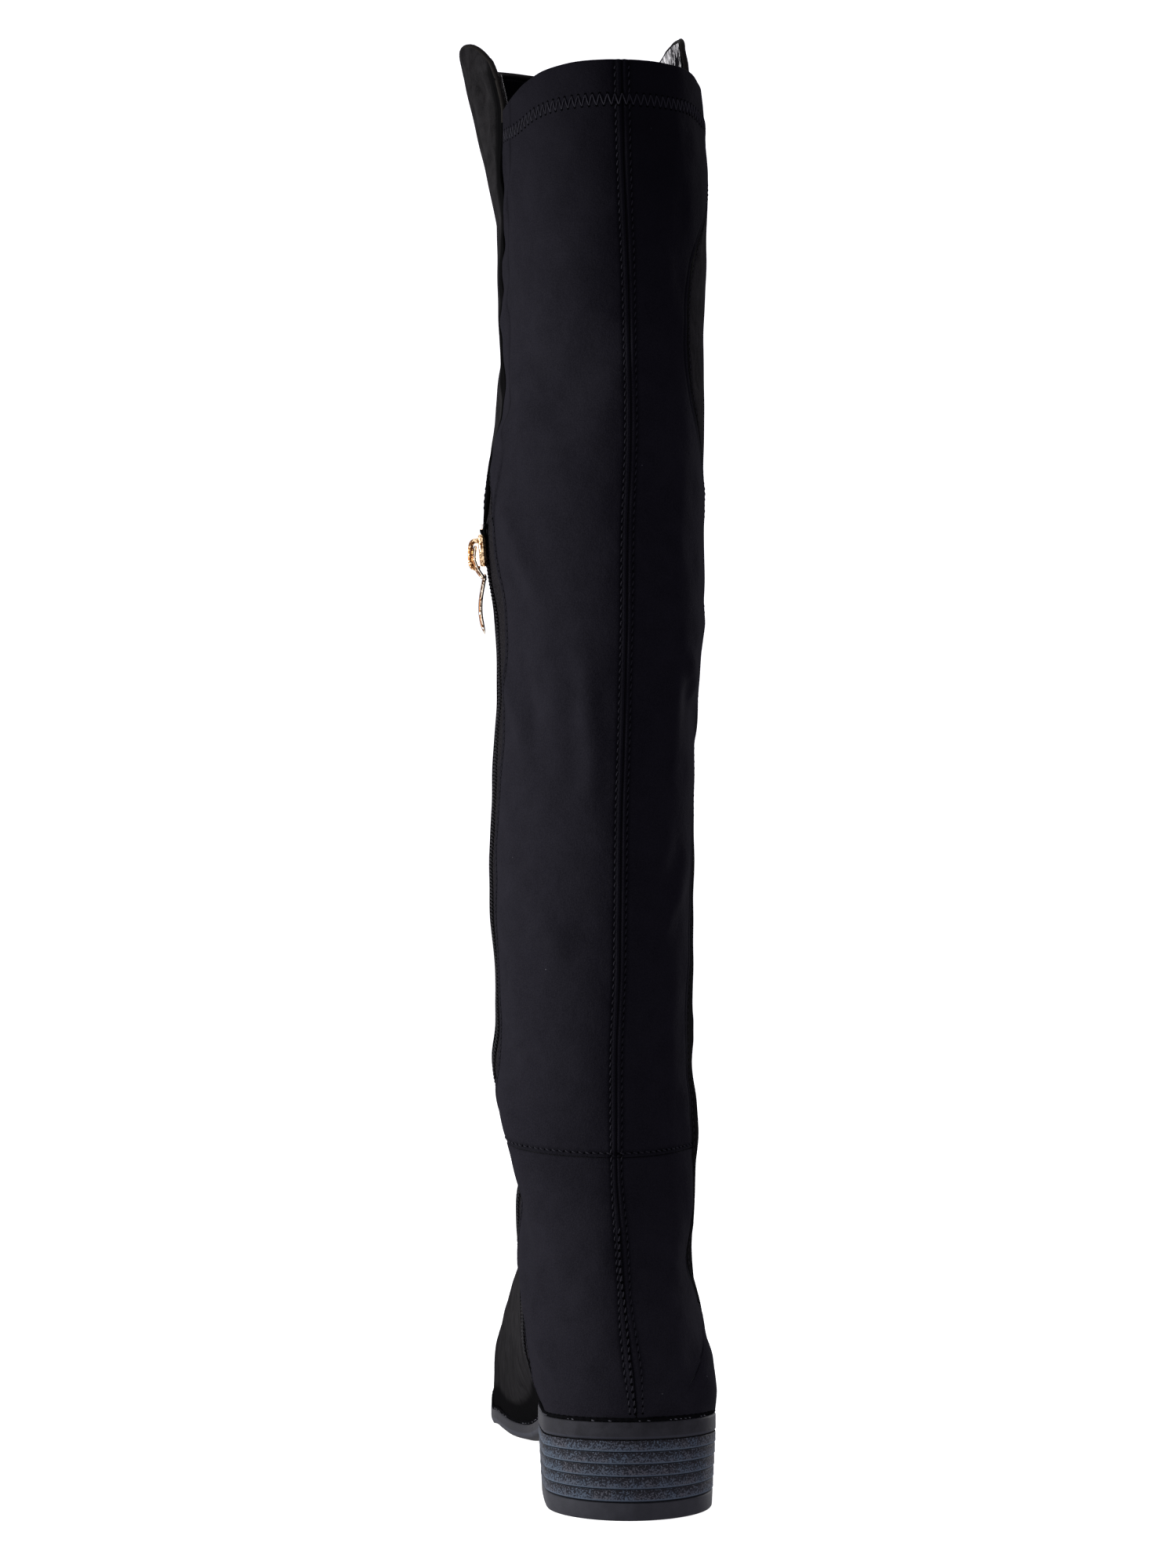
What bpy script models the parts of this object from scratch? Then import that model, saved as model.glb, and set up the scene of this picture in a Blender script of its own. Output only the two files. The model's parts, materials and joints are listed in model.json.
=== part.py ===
"""Over-the-knee boot for the right foot, standing empty on its heel and forefoot.

Axes: +X to the outer side of the foot, +Y to the toe, +Z up. The origin is the centre of the heel's
face on the floor. Dimensions and tables are in millimetres, with y counted from the back of the heel;
place() turns them into metres about the origin.
"""
import math

import bmesh
import bpy
import numpy as np
from mathutils import Vector
from mathutils.bvhtree import BVHTree

MM = 0.001
TAU = 2 * math.pi

# Driving dimensions
SOLE_LENGTH = 264.0          # of the feather line, where the upper meets the sole
SEAT_BACK_HEIGHT = 31.0      # floor to the sole's underside at the back of the heel
SEAT_FRONT_HEIGHT = 27.0     # the same at the heel's breast
HEEL_LENGTH = 60.0
TREAD_BACK = 166.0           # the flat tread under the ball of the foot
TREAD_FRONT = 208.0
TOE_SPRING = 9.0
SOLE_THICKNESS = 6.9
SOLE_MARGIN = 1.2            # how far the sole stands out past the feather line
EDGE_LIFT = 2.0              # how far the tread's underside curves up to its edge
INSOLE_THICKNESS = 3.0
WALL = 2.0                   # thickness of the upper
GAP = 0.3                    # clearance between pieces that meet
LIFT_HEIGHT = 7.2
HEEL_LAYERS = 5
LAYER_GROOVE = 0.5           # depth and half height of the groove between heel layers
HEEL_TAPER = 2.2             # how much narrower each side of the heel is at the floor
BREAST_HOLLOW = 4.0          # depth of the hollow in the heel's front face
HEEL_ROUND = 30.0            # length of the rounded back of the outline
TOE_ROUND = 40.0
TOE_POWER = 2.2              # exponent of the toe's round, 2 is an ellipse
ZIP_BOTTOM = 56.0
ZIP_TOP = 376.0
CHAIN_WIDTH = 6.0
CHAIN_THICKNESS = 1.2
CHAIN_GAP = 0.8              # more than GAP, because the upper's facets are coarse
HEEL_CENTRE_Y = 30.5         # from the back of the heel to the origin
HEEL_CENTRE_X = 1.0          # from the tables' x to the origin


class Table:
    """Smooth curves through the rows of a table; its first column is the station."""

    def __init__(self, columns, rows):
        self.columns = columns.split()
        self.rows = np.array(rows, dtype=float)

    def at(self, name, station):
        stations = self.rows[:, 0]
        values = self.rows[:, self.columns.index(name)]
        slopes = np.gradient(values, stations)
        i = int(np.clip(np.searchsorted(stations, station) - 1, 0, len(stations) - 2))
        span = stations[i + 1] - stations[i]
        t = float(np.clip((station - stations[i]) / span, 0.0, 1.0))
        return (values[i] * (2 * t**3 - 3 * t**2 + 1) + values[i + 1] * (3 * t**2 - 2 * t**3)
                + span * slopes[i] * (t**3 - 2 * t**2 + t) + span * slopes[i + 1] * (t**3 - t**2))


# The feather line from above, before its ends are rounded: x of the inner and the outer side, and of
# the axis that both sides close on.
OUTLINE = Table("y inner outer axis", (
    (0, -31.2, 33.2, 1),
    (40, -31.2, 33.2, 1),
    (70, -29.0, 32.0, 1),
    (105, -24.0, 33.5, 0),
    (135, -28.0, 41.0, 0),
    (165, -35.4, 46.8, 0),
    (195, -37.4, 44.5, -1),
    (225, -34.5, 36.5, -3),
    (264, -29.0, 24.0, -3),
))

# One row for each section of the upper, from the toe's tip round the heel and up the shaft. A section
# is a plane that runs along X from its rear point to its front point. Up to HEEL_STEP its rear is on
# the feather line and open, and past it the section is a closed ring. inner and outer are the x of its
# sides, belly is how far along it is widest, and crown is the exponent of its front half.
SECTIONS = Table("step rear_x rear_y rear_z front_x front_y front_z inner outer belly crown", (
    (0, -3, 264, 16, -3, 264, 28, -30, 24, .30, 2.3),
    (1, -3, 261, 16, -3, 260, 35, -30, 25, .30, 2.3),
    (2, -3, 253, 15, -3, 251, 41, -31, 27, .30, 2.4),
    (3, -2, 240, 12, -3, 238, 46, -33, 32, .30, 2.4),
    (4, -1, 220, 9, -2, 219, 53, -35.4, 39, .30, 2.5),
    (5, 1, 196, 7, -1, 198, 63, -37.4, 45, .28, 2.6),
    (6, 3, 170, 7, 0, 177, 75, -37.4, 47.6, .28, 2.7),
    (7, 3, 142, 8, 0, 158, 88, -36.5, 44, .28, 2.8),
    (8, 2, 112, 14, -1, 141, 100, -35.2, 38.5, .28, 2.6),
    (9, 1, 80, 26, -2, 128, 112, -35.2, 35.2, .28, 2.3),
    (10, 0, 50, 35, -3, 119, 122, -36, 33.8, .29, 2.1),
    (11, 0, 24, 37, -4, 114, 133, -36.8, 32.8, .30, 2.0),
    (12, 0, 6, 38, -4.5, 111, 142, -38, 31.0, .32, 2.0),
    (13, 0, 0, 38.3, -5, 109.5, 149, -39.3, 29.0, .33, 2.0),
    (14, -1.5, -3.3, 55, -5.5, 107.5, 158, -39.3, 26.6, .36, 2.0),
    (15, -4.5, -3.2, 78, -6, 105.5, 169, -38.2, 25.8, .39, 2.0),
    (16, -6.0, 0.5, 104, -6.5, 104, 183, -43.8, 28.0, .41, 2.0),
    (17, -7.0, 5.0, 128, -8, 103.5, 198, -48.6, 27.4, .43, 2.0),
    (18, -6.8, 7.5, 152, -9, 104, 214, -46.2, 27.4, .44, 2.0),
    (19, -6.8, 7.0, 178, -9, 105.5, 231, -46.6, 27.2, .44, 2.0),
    (20, -6.0, 4.0, 206, -9, 108, 250, -48.5, 27.0, .44, 2.0),
    (21, -6.0, 1.0, 236, -9, 111, 272, -49.0, 26.8, .44, 2.0),
    (22, -5.8, -0.5, 268, -9, 114, 296, -47.6, 27.5, .44, 2.0),
    (23, -4.8, -1.0, 302, -8.8, 117.5, 322, -46.2, 28.8, .44, 2.0),
    (24, -3.8, -0.5, 338, -8.6, 121, 351, -47.0, 31.8, .44, 2.0),
    (25, -3.3, 1.0, 374, -8.5, 124.5, 382, -51.4, 32.6, .44, 2.0),
    (26, -1.8, 3.0, 412, -8, 128, 416, -47.6, 32.2, .44, 2.1),
    (27, -2.2, 4.0, 450, -7, 132, 451, -45.6, 32.6, .44, 2.1),
    (28, -3.2, 4.0, 484, -6, 136, 484, -45.6, 33.6, .44, 2.2),
    (29, -4.5, 2.5, 512, -6, 139.5, 512, -45.8, 34.6, .44, 2.2),
    (30, -5.3, 1.0, 534, -6, 142, 534, -46.2, 34.0, .44, 2.2),
    (31, -5.8, 0.0, 553, -6, 144, 553, -46.2, 32.4, .44, 2.2),
    (32, -6.0, -1.0, 576, -6, 146, 576, -46.2, 30.0, .44, 2.2),
))
HEEL_STEP = 13               # the section that closes at the back of the heel
COLLAR_BASE_STEP = 28
ROWS_PER_FOOT_STEP = 2
COLLAR_ROWS = 5

# Height of the collar's edge along each half of the opening, as a share from the back to the front.
COLLAR = Table("share inner outer", (
    (0, 551, 551),
    (.12, 551, 551),
    (.26, 549, 550.5),
    (.36, 544.5, 547),
    (.42, 540.5, 542),
    (.455, 563, 566),
    (.50, 571.5, 574),
    (.62, 570, 571),
    (.80, 568.5, 568.5),
    (1, 568, 568),
))
SEAM_SHARE = .42             # where the side seams lie, from the back to the front
FLARE = 14.5                 # how far the inner corner of the collar is folded outwards
FLARE_START = 500.0
CORNER_LEAN = 5.0            # how far the outer corner of the collar leans inwards

# Shares of each half section where the mesh has a column, closer together at the side seam
SHARES = (0, .075, .15, .22, .29, .35, .395, .42, .44, .465, .50, .55, .61, .68, .75, .82, .88, .94, 1)

# The zip's line on the inner side: y at each height
ZIP_LINE = Table("z y", (
    (50, 61),
    (100, 60),
    (150, 58),
    (250, 56),
    (378, 60),
))


def place(x, y, z):
    """The point in metres, about the origin."""
    return Vector(((x - HEEL_CENTRE_X) * MM, (y - HEEL_CENTRE_Y) * MM, z * MM))


def ramp(start, end, value):
    """0 before start, 1 after end and a smooth rise between them."""
    t = min(1.0, max(0.0, (value - start) / (end - start)))
    return t * t * (3 - 2 * t)


# ---------------------------------------------------------------- the sole's lines

def tread_height(y):
    """Underside of the sole: the heel seat's plane, the shank, the flat tread and the toe spring."""
    slope = (SEAT_FRONT_HEIGHT - SEAT_BACK_HEIGHT) / HEEL_LENGTH
    if y <= HEEL_LENGTH:
        return SEAT_BACK_HEIGHT + slope * y
    if y < TREAD_BACK:
        span = TREAD_BACK - HEEL_LENGTH
        t = (y - HEEL_LENGTH) / span
        return SEAT_FRONT_HEIGHT * (2 * t**3 - 3 * t**2 + 1) + slope * span * (t**3 - 2 * t**2 + t)
    if y <= TREAD_FRONT:
        return 0.0
    return TOE_SPRING * ((y - TREAD_FRONT) / (SOLE_LENGTH - TREAD_FRONT)) ** 2


def sole_top(y):
    return tread_height(y) + SOLE_THICKNESS


def feather_height(y):
    return sole_top(y) + 2 * GAP


def end_round(y, margin=0.0):
    """Share of the full width that the rounded heel and toe leave at y."""
    heel = max(0.0, 1 - (y + margin) / (HEEL_ROUND + margin))
    toe = max(0.0, 1 - (SOLE_LENGTH + margin - y) / (TOE_ROUND + margin))
    heel_share = math.sqrt(max(0.0, 1 - heel**2))
    return heel_share * max(0.0, 1 - toe**TOE_POWER) ** (1 / TOE_POWER)


def outline_x(side, y, margin=0.0):
    """x of one side of the feather line moved outwards by margin; side is inner or outer."""
    axis = OUTLINE.at("axis", y)
    outwards = -margin if side == "inner" else margin
    return axis + (OUTLINE.at(side, y) + outwards - axis) * end_round(y, margin)


def outline_stations(margin, count, end=SOLE_LENGTH):
    """y of cuts across the outline, closer together towards its round ends."""
    first = -margin
    last = end + margin if end == SOLE_LENGTH else end
    reach = math.pi if end == SOLE_LENGTH else math.pi / 2
    fractions = [(1 - math.cos(reach * i / count)) / (1 - math.cos(reach)) for i in range(count + 1)]
    return [first + (last - first) * f for f in fractions]


# ---------------------------------------------------------------- the upper's surface

def toe_round(y):
    toe = max(0.0, 1 - (SOLE_LENGTH - y) / TOE_ROUND)
    return max(0.0, 1 - toe**TOE_POWER) ** (1 / TOE_POWER)


def half_section(step, side, samples=40):
    """Points of one half of a section, from its rear to its front, with the length up to each."""
    rear = np.array([SECTIONS.at(name, step) for name in ("rear_x", "rear_y", "rear_z")])
    front = np.array([SECTIONS.at(name, step) for name in ("front_x", "front_y", "front_z")])
    belly = SECTIONS.at("belly", step)
    crown = SECTIONS.at("crown", step)
    rear_width = 0.0
    if step < HEEL_STEP:
        rear[2] = feather_height(rear[1])
        rear_width = abs(outline_x(side, rear[1]) - rear[0])
    elif step == HEEL_STEP:
        rear[2] = feather_height(rear[1])
    belly_x = rear[0] + (front[0] - rear[0]) * belly
    width = abs(SECTIONS.at(side, step) - belly_x) * toe_round(rear[1])
    sign = -1 if side == "inner" else 1
    points = []
    for i in range(samples + 1):
        turn = math.pi / 2 * i / samples
        grown = 1 - math.cos(turn)
        reach = math.sqrt(rear_width**2 + (width**2 - rear_width**2) * (2 * grown - grown**2))
        along = belly * grown
        points.append(rear + (front - rear) * along + np.array((sign * reach, 0, 0)))
    for i in range(1, samples + 1):
        turn = math.pi / 2 * i / samples
        risen = math.sin(turn)
        reach = width * max(0.0, 1 - risen**crown) ** (1 / crown)
        along = belly + (1 - belly) * risen
        points.append(rear + (front - rear) * along + np.array((sign * reach, 0, 0)))
    points = np.array(points)
    lengths = np.concatenate(((0,), np.cumsum(np.linalg.norm(np.diff(points, axis=0), axis=1))))
    return points, lengths / lengths[-1]


def upper_point(step, side, share):
    """The point of the upper's outer face at a share of the way from the rear to the front."""
    points, shares = half_section(step, side)
    point = np.array([np.interp(share, shares, points[:, axis]) for axis in range(3)])
    point[0] += collar_shift(side, share, point[2])
    return point


def collar_shift(side, share, z):
    """Sideways move of the collar's corners: the inner one flares out, the outer one leans in."""
    if side == "inner":
        along = ramp(SEAM_SHARE - .02, .52, share) * (1 - ramp(.62, .95, share))
        rise = min(1.0, max(0.0, (z - FLARE_START) / (566 - FLARE_START)))
        return -FLARE * along * rise
    along = ramp(.3, SEAM_SHARE, share) * (1 - ramp(.55, .8, share))
    return -CORNER_LEAN * along * ramp(535, 572, z)


def collar_step(side, share):
    """The step whose section is as high as the collar's edge."""
    heights = SECTIONS.rows[COLLAR_BASE_STEP:, SECTIONS.columns.index("rear_z")]
    steps = SECTIONS.rows[COLLAR_BASE_STEP:, 0]
    return float(np.interp(COLLAR.at(side, share), heights, steps))


def upper_rows():
    """Steps of the mesh rows: foot, shaft, then the rows that are stretched up to the collar."""
    foot = [i / ROWS_PER_FOOT_STEP for i in range(HEEL_STEP * ROWS_PER_FOOT_STEP)]
    shaft = list(range(HEEL_STEP, COLLAR_BASE_STEP))
    return foot + shaft


def upper_surface():
    """Grid of the upper's outer face as a bmesh, open at the collar and along the feather line."""
    columns = [("inner", share) for share in SHARES] + [("outer", share) for share in SHARES[-2::-1]]
    grid = [[upper_point(step, side, share) for side, share in columns] for step in upper_rows()]
    for k in range(COLLAR_ROWS + 1):
        rise = k / COLLAR_ROWS
        row = []
        for side, share in columns:
            step = COLLAR_BASE_STEP + (collar_step(side, share) - COLLAR_BASE_STEP) * rise
            row.append(upper_point(step, side, share))
        grid.append(row)
    bm = bmesh.new()
    verts = [[bm.verts.new(place(*point)) for point in row] for row in grid]
    for lower, higher in zip(verts, verts[1:]):
        for i in range(len(columns) - 1):
            bm.faces.new((lower[i], higher[i], higher[i + 1], lower[i + 1]))
    bmesh.ops.remove_doubles(bm, verts=bm.verts, dist=0.00002)
    return bm


# ---------------------------------------------------------------- helpers for objects

def material(name, color, roughness, metallic=0.0):
    mat = bpy.data.materials.new(name)
    mat.use_nodes = True
    shader = mat.node_tree.nodes["Principled BSDF"]
    shader.inputs["Base Color"].default_value = (*color, 1.0)
    shader.inputs["Roughness"].default_value = roughness
    shader.inputs["Metallic"].default_value = metallic
    return mat


def add_object(name, bm, collection, mat):
    """Closes a bmesh into a smooth-shaded object of its own."""
    mesh = bpy.data.meshes.new(name)
    bm.to_mesh(mesh)
    bm.free()
    mesh.shade_smooth()
    mesh.set_sharp_from_angle(angle=math.radians(35))
    mesh.materials.append(mat)
    obj = bpy.data.objects.new(name, mesh)
    collection.objects.link(obj)
    return obj


def curve_to_mesh(curve_obj, collection, mat):
    """A curve made into a closed mesh object in its place, with its caps welded."""
    depsgraph = bpy.context.evaluated_depsgraph_get()
    mesh = bpy.data.meshes.new_from_object(curve_obj.evaluated_get(depsgraph))
    bm = bmesh.new()
    bm.from_mesh(mesh)
    bmesh.ops.remove_doubles(bm, verts=bm.verts, dist=0.00001)
    name = curve_obj.name
    matrix = curve_obj.matrix_world.copy()
    bpy.data.objects.remove(curve_obj)
    obj = add_object(name, bm, collection, mat)
    obj.matrix_world = matrix
    return obj


def loft(rings):
    """Closed body through rings with the same number of points, capped by one face at each end."""
    bm = bmesh.new()
    verts = [[bm.verts.new(point) for point in ring] for ring in rings]
    count = len(verts[0])
    for lower, higher in zip(verts, verts[1:]):
        for i in range(count):
            j = (i + 1) % count
            bm.faces.new((lower[i], lower[j], higher[j], higher[i]))
    bm.faces.new(verts[0][::-1])
    bm.faces.new(verts[-1])
    bmesh.ops.recalc_face_normals(bm, faces=bm.faces)
    return bm


def slab(levels, count):
    """Closed body in the foot's outline. Each level is (margin, height function), from the bottom up;
    its first and last levels are filled by strips that follow their height."""
    bm = bmesh.new()
    rings = []
    for margin, height in levels:
        stations = outline_stations(margin, count)
        ring = {}
        for side in ("inner", "outer"):
            ring[side] = [bm.verts.new(place(outline_x(side, y, margin), y, height(y))) for y in stations]
        rings.append(ring)
    for lower, higher in zip(rings, rings[1:]):
        for side in ("inner", "outer"):
            for i in range(count):
                bm.faces.new((lower[side][i], lower[side][i + 1], higher[side][i + 1], higher[side][i]))
    for ring in (rings[0], rings[-1]):
        for i in range(count):
            bm.faces.new((ring["inner"][i], ring["inner"][i + 1], ring["outer"][i + 1], ring["outer"][i]))
    bmesh.ops.remove_doubles(bm, verts=bm.verts, dist=0.00001)
    bmesh.ops.dissolve_degenerate(bm, edges=bm.edges, dist=0.00001)
    bmesh.ops.recalc_face_normals(bm, faces=bm.faces)
    return bm


# ---------------------------------------------------------------- the pieces

def make_upper(collection):
    """The upper: its outer face, thickened inwards by the wall."""
    mat = material("upper_black", (0.012, 0.011, 0.013), 0.75)
    obj = add_object("upper", upper_surface(), collection, mat)
    solidify = obj.modifiers.new("wall", 'SOLIDIFY')
    solidify.thickness = WALL * MM
    solidify.offset = -1.0
    solidify.use_rim = True
    return obj


def make_outsole(collection):
    chamfer = 0.9
    mat = material("sole_charcoal", (0.035, 0.034, 0.036), 0.45)

    def edge_lift(y):
        """How far the underside curves up to its edge; it lies flat on the heel."""
        return EDGE_LIFT * ramp(HEEL_LENGTH + 10, TREAD_BACK - 30, y)

    levels = (
        (SOLE_MARGIN - 4.5, tread_height),
        (SOLE_MARGIN - chamfer, lambda y: tread_height(y) + 0.45 * edge_lift(y)),
        (SOLE_MARGIN, lambda y: tread_height(y) + chamfer + edge_lift(y)),
        (SOLE_MARGIN, lambda y: sole_top(y) - chamfer),
        (SOLE_MARGIN - chamfer, sole_top),
    )
    return add_object("outsole", slab(levels, 36), collection, mat)


def make_insole(collection):
    """Lies on the sole inside the upper's wall."""
    mat = material("insole_black", (0.02, 0.02, 0.02), 0.9)
    inset = -(WALL + 1.8)
    soften = 0.7
    levels = (
        (inset, lambda y: sole_top(y) + GAP),
        (inset, lambda y: sole_top(y) + GAP + INSOLE_THICKNESS - soften),
        (inset - soften, lambda y: sole_top(y) + GAP + INSOLE_THICKNESS),
    )
    return add_object("insole", slab(levels, 30), collection, mat)


def heel_ring(margin, height, count=14, breast_count=6):
    """The heel's outline at one height: the sole's rounded back, closed by a hollow breast."""
    stations = outline_stations(margin, count, HEEL_LENGTH + margin)
    inner = [(outline_x("inner", y, margin), y) for y in stations]
    outer = [(outline_x("outer", y, margin), y) for y in stations[1:]]
    breast = []
    left, right = inner[-1][0], outer[-1][0]
    for i in range(1, breast_count):
        t = i / breast_count
        hollow = BREAST_HOLLOW * (1 - (2 * t - 1) ** 2)
        breast.append((left + (right - left) * t, stations[-1] - hollow))
    outline = inner + breast + outer[::-1]
    return [place(x, y, height(y)) for x, y in outline]


def heel_margin(z):
    """Margin of the heel's side at height z; it narrows towards the floor."""
    return SOLE_MARGIN - HEEL_TAPER * (1 - z / SEAT_BACK_HEIGHT)


def make_heel_block(collection):
    """Five layers, parted by grooves, cut on top by the sole's seat."""
    mat = material("heel_stack", (0.05, 0.06, 0.07), 0.7)
    rings = []
    layer = (SEAT_BACK_HEIGHT - LIFT_HEIGHT) / HEEL_LAYERS
    slope = (SEAT_BACK_HEIGHT - SEAT_FRONT_HEIGHT) / HEEL_LENGTH

    def level(z):
        """Layers lie flat at the floor and tilt with the seat at the top."""
        tilt = slope * (z - LIFT_HEIGHT) / (SEAT_BACK_HEIGHT - LIFT_HEIGHT)
        return lambda y: z - tilt * y

    rings.append(heel_ring(heel_margin(LIFT_HEIGHT), level(LIFT_HEIGHT)))
    for i in range(1, HEEL_LAYERS):
        z = LIFT_HEIGHT + i * layer
        rings.append(heel_ring(heel_margin(z), level(z - LAYER_GROOVE)))
        rings.append(heel_ring(heel_margin(z) - LAYER_GROOVE, level(z)))
        rings.append(heel_ring(heel_margin(z), level(z + LAYER_GROOVE)))
    top = SEAT_BACK_HEIGHT - GAP
    rings.append(heel_ring(heel_margin(top), level(top)))
    return add_object("heel_block", loft(rings), collection, mat)


def make_top_lift(collection):
    mat = material("lift_black", (0.01, 0.01, 0.01), 0.6)
    chamfer = 0.6
    top = LIFT_HEIGHT - GAP
    levels = ((heel_margin(0) - chamfer, 0.0), (heel_margin(0), chamfer), (heel_margin(top), top))
    rings = [heel_ring(margin, lambda y, z=z: z) for margin, z in levels]
    return add_object("top_lift", loft(rings), collection, mat)


class InnerSide:
    """Finds the upper's outer face on the inner side of the boot."""

    def __init__(self):
        bm = upper_surface()
        self.tree = BVHTree.FromBMesh(bm)
        bm.free()

    def x(self, y, z):
        """x of the face at this y and height, in millimetres."""
        start = place(-200, y, z)
        hit = self.tree.ray_cast(start, Vector((1, 0, 0)))[0]
        return hit.x / MM + HEEL_CENTRE_X


def make_zip_chain(collection, inner_side):
    """A flat strip that follows the upper from the quarter to the slider."""
    mat = material("zip_black", (0.01, 0.01, 0.01), 0.5)
    rings = []
    count = 64
    for i in range(count + 1):
        z = ZIP_BOTTOM + (ZIP_TOP - ZIP_BOTTOM) * i / count
        middle = ZIP_LINE.at("y", z)
        ys = [middle + CHAIN_WIDTH * offset for offset in (-.5, 0, .5)]
        back = [(inner_side.x(y, z) - CHAIN_GAP, y, z) for y in ys]
        face = [(x - CHAIN_THICKNESS, y, z) for x, y, z in back[::-1]]
        rings.append([place(*point) for point in back + face])
    return add_object("zip_chain", loft(rings), collection, mat)


# The slider, bail and pull stand on the chain near its top.
SLIDER_HEIGHT = 371.0        # middle of the slider
SLIDER_LENGTH = 10.0
SLIDER_WIDTH = 7.4
SLIDER_THICKNESS = 1.3
BAIL_WIRE = 0.75             # radius
PULL_WIRE = 0.8              # radius of the pull's loop
PULL_LOOP_LENGTH = 12.5
PULL_LOOP_WIDTH = 5.6
LOOP_BOW = 1.2               # how far the loop's middle bows away from the boot
LOOP_LEAN = 3.0              # how far the loop's lower end leans towards the boot
TAB_LENGTH = 21.4
TAB_WIDTH = 5.2
TAB_THICKNESS = 1.8
TAB_WAVE = 1.8               # how far the tab's middle swings away from the boot
TAB_OVERLAP = 2.2            # how far the tab reaches up into the loop
PULL_SIDES = 8


def slider_face(inner_side):
    """x of the slider's outer face, clear of the chain under it."""
    y = ZIP_LINE.at("y", SLIDER_HEIGHT)
    reach = SLIDER_LENGTH / 2
    chain = min(inner_side.x(y + dy, SLIDER_HEIGHT + dz) for dy in (-3, 0, 3) for dz in (-reach, 0, reach))
    return chain - CHAIN_GAP - CHAIN_THICKNESS - GAP - SLIDER_THICKNESS


def pull_axis(inner_side):
    """The point that the pull turns about: the middle of the loop's top, under the bail."""
    x = slider_face(inner_side) - GAP - PULL_WIRE
    return x, ZIP_LINE.at("y", SLIDER_HEIGHT), SLIDER_HEIGHT


def make_zip_slider(collection, inner_side):
    """A plate that narrows downwards, with a bail over the pull's loop."""
    mat = material("slider_metal", (0.55, 0.45, 0.40), 0.35, 1.0)
    face = slider_face(inner_side)
    middle = ZIP_LINE.at("y", SLIDER_HEIGHT)
    bpy.ops.mesh.primitive_cube_add(size=1, location=place(face + SLIDER_THICKNESS / 2, middle, SLIDER_HEIGHT))
    plate = bpy.context.active_object
    plate.name = "zip_slider"
    for vertex in plate.data.vertices:
        narrow = 0.72 if vertex.co.z < 0 else 1.0
        vertex.co.x *= SLIDER_THICKNESS * MM
        vertex.co.y *= SLIDER_WIDTH * MM * narrow
        vertex.co.z *= SLIDER_LENGTH * MM
    for other in list(plate.users_collection):
        other.objects.unlink(plate)
    collection.objects.link(plate)
    plate.data.materials.append(mat)
    bevel = plate.modifiers.new("rounded", 'BEVEL')
    bevel.width = 0.5 * MM
    bevel.segments = 2
    bail = make_bail(face, middle)
    union = plate.modifiers.new("bail", 'BOOLEAN')
    union.operation = 'UNION'
    union.object = bail
    return plate


def make_bail(face, middle):
    """A half hoop that stands on the slider's plate, clear of the loop that passes under it."""
    rise = 2 * PULL_WIRE + 2 * GAP + 2 * BAIL_WIRE
    half = 3.0
    curve = bpy.data.curves.new("bail_hoop", 'CURVE')
    curve.dimensions = '3D'
    curve.bevel_depth = BAIL_WIRE * MM
    curve.bevel_resolution = 2
    curve.use_fill_caps = True
    spline = curve.splines.new('POLY')
    turns = 12
    spline.points.add(turns)
    for i in range(turns + 1):
        angle = math.pi * i / turns
        out = face + 0.8 - (rise - BAIL_WIRE + 0.8) * math.sin(angle) ** 0.8
        point = place(out, middle, SLIDER_HEIGHT + half * math.cos(angle))
        spline.points[i].co = (*point, 1.0)
    hoop = bpy.data.objects.new("bail_hoop", curve)
    CUTTERS.objects.link(hoop)
    bpy.context.view_layer.update()
    hoop = curve_to_mesh(hoop, CUTTERS, bpy.data.materials["slider_metal"])
    hoop.hide_render = True
    hoop.display_type = 'WIRE'
    return hoop


def make_zip_top_stop(collection, inner_side):
    """A small clip over the top of the zip."""
    mat = material("stop_metal", (0.2, 0.18, 0.17), 0.4, 1.0)
    height = ZIP_TOP + 3.0
    y = ZIP_LINE.at("y", height)
    thickness = 1.8
    half = 1.1
    face = min(inner_side.x(y + dy, height + dz) for dy in (-2.5, 2.5) for dz in (-half, half))
    bpy.ops.mesh.primitive_cube_add(size=1, location=place(face - GAP - thickness / 2, y, height))
    stop = bpy.context.active_object
    stop.name = "zip_top_stop"
    for vertex in stop.data.vertices:
        vertex.co.x *= thickness * MM
        vertex.co.y *= 4.6 * MM
        vertex.co.z *= 2 * half * MM
    for other in list(stop.users_collection):
        other.objects.unlink(stop)
    collection.objects.link(stop)
    stop.data.materials.append(mat)
    bevel = stop.modifiers.new("rounded", 'BEVEL')
    bevel.width = 0.4 * MM
    bevel.segments = 2
    return stop


def loop_offset(down):
    """How far the loop's wire is towards the boot at a distance below the axis."""
    share = down / PULL_LOOP_LENGTH
    return LOOP_LEAN * share**2 - LOOP_BOW * math.sin(math.pi * share)


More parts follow.
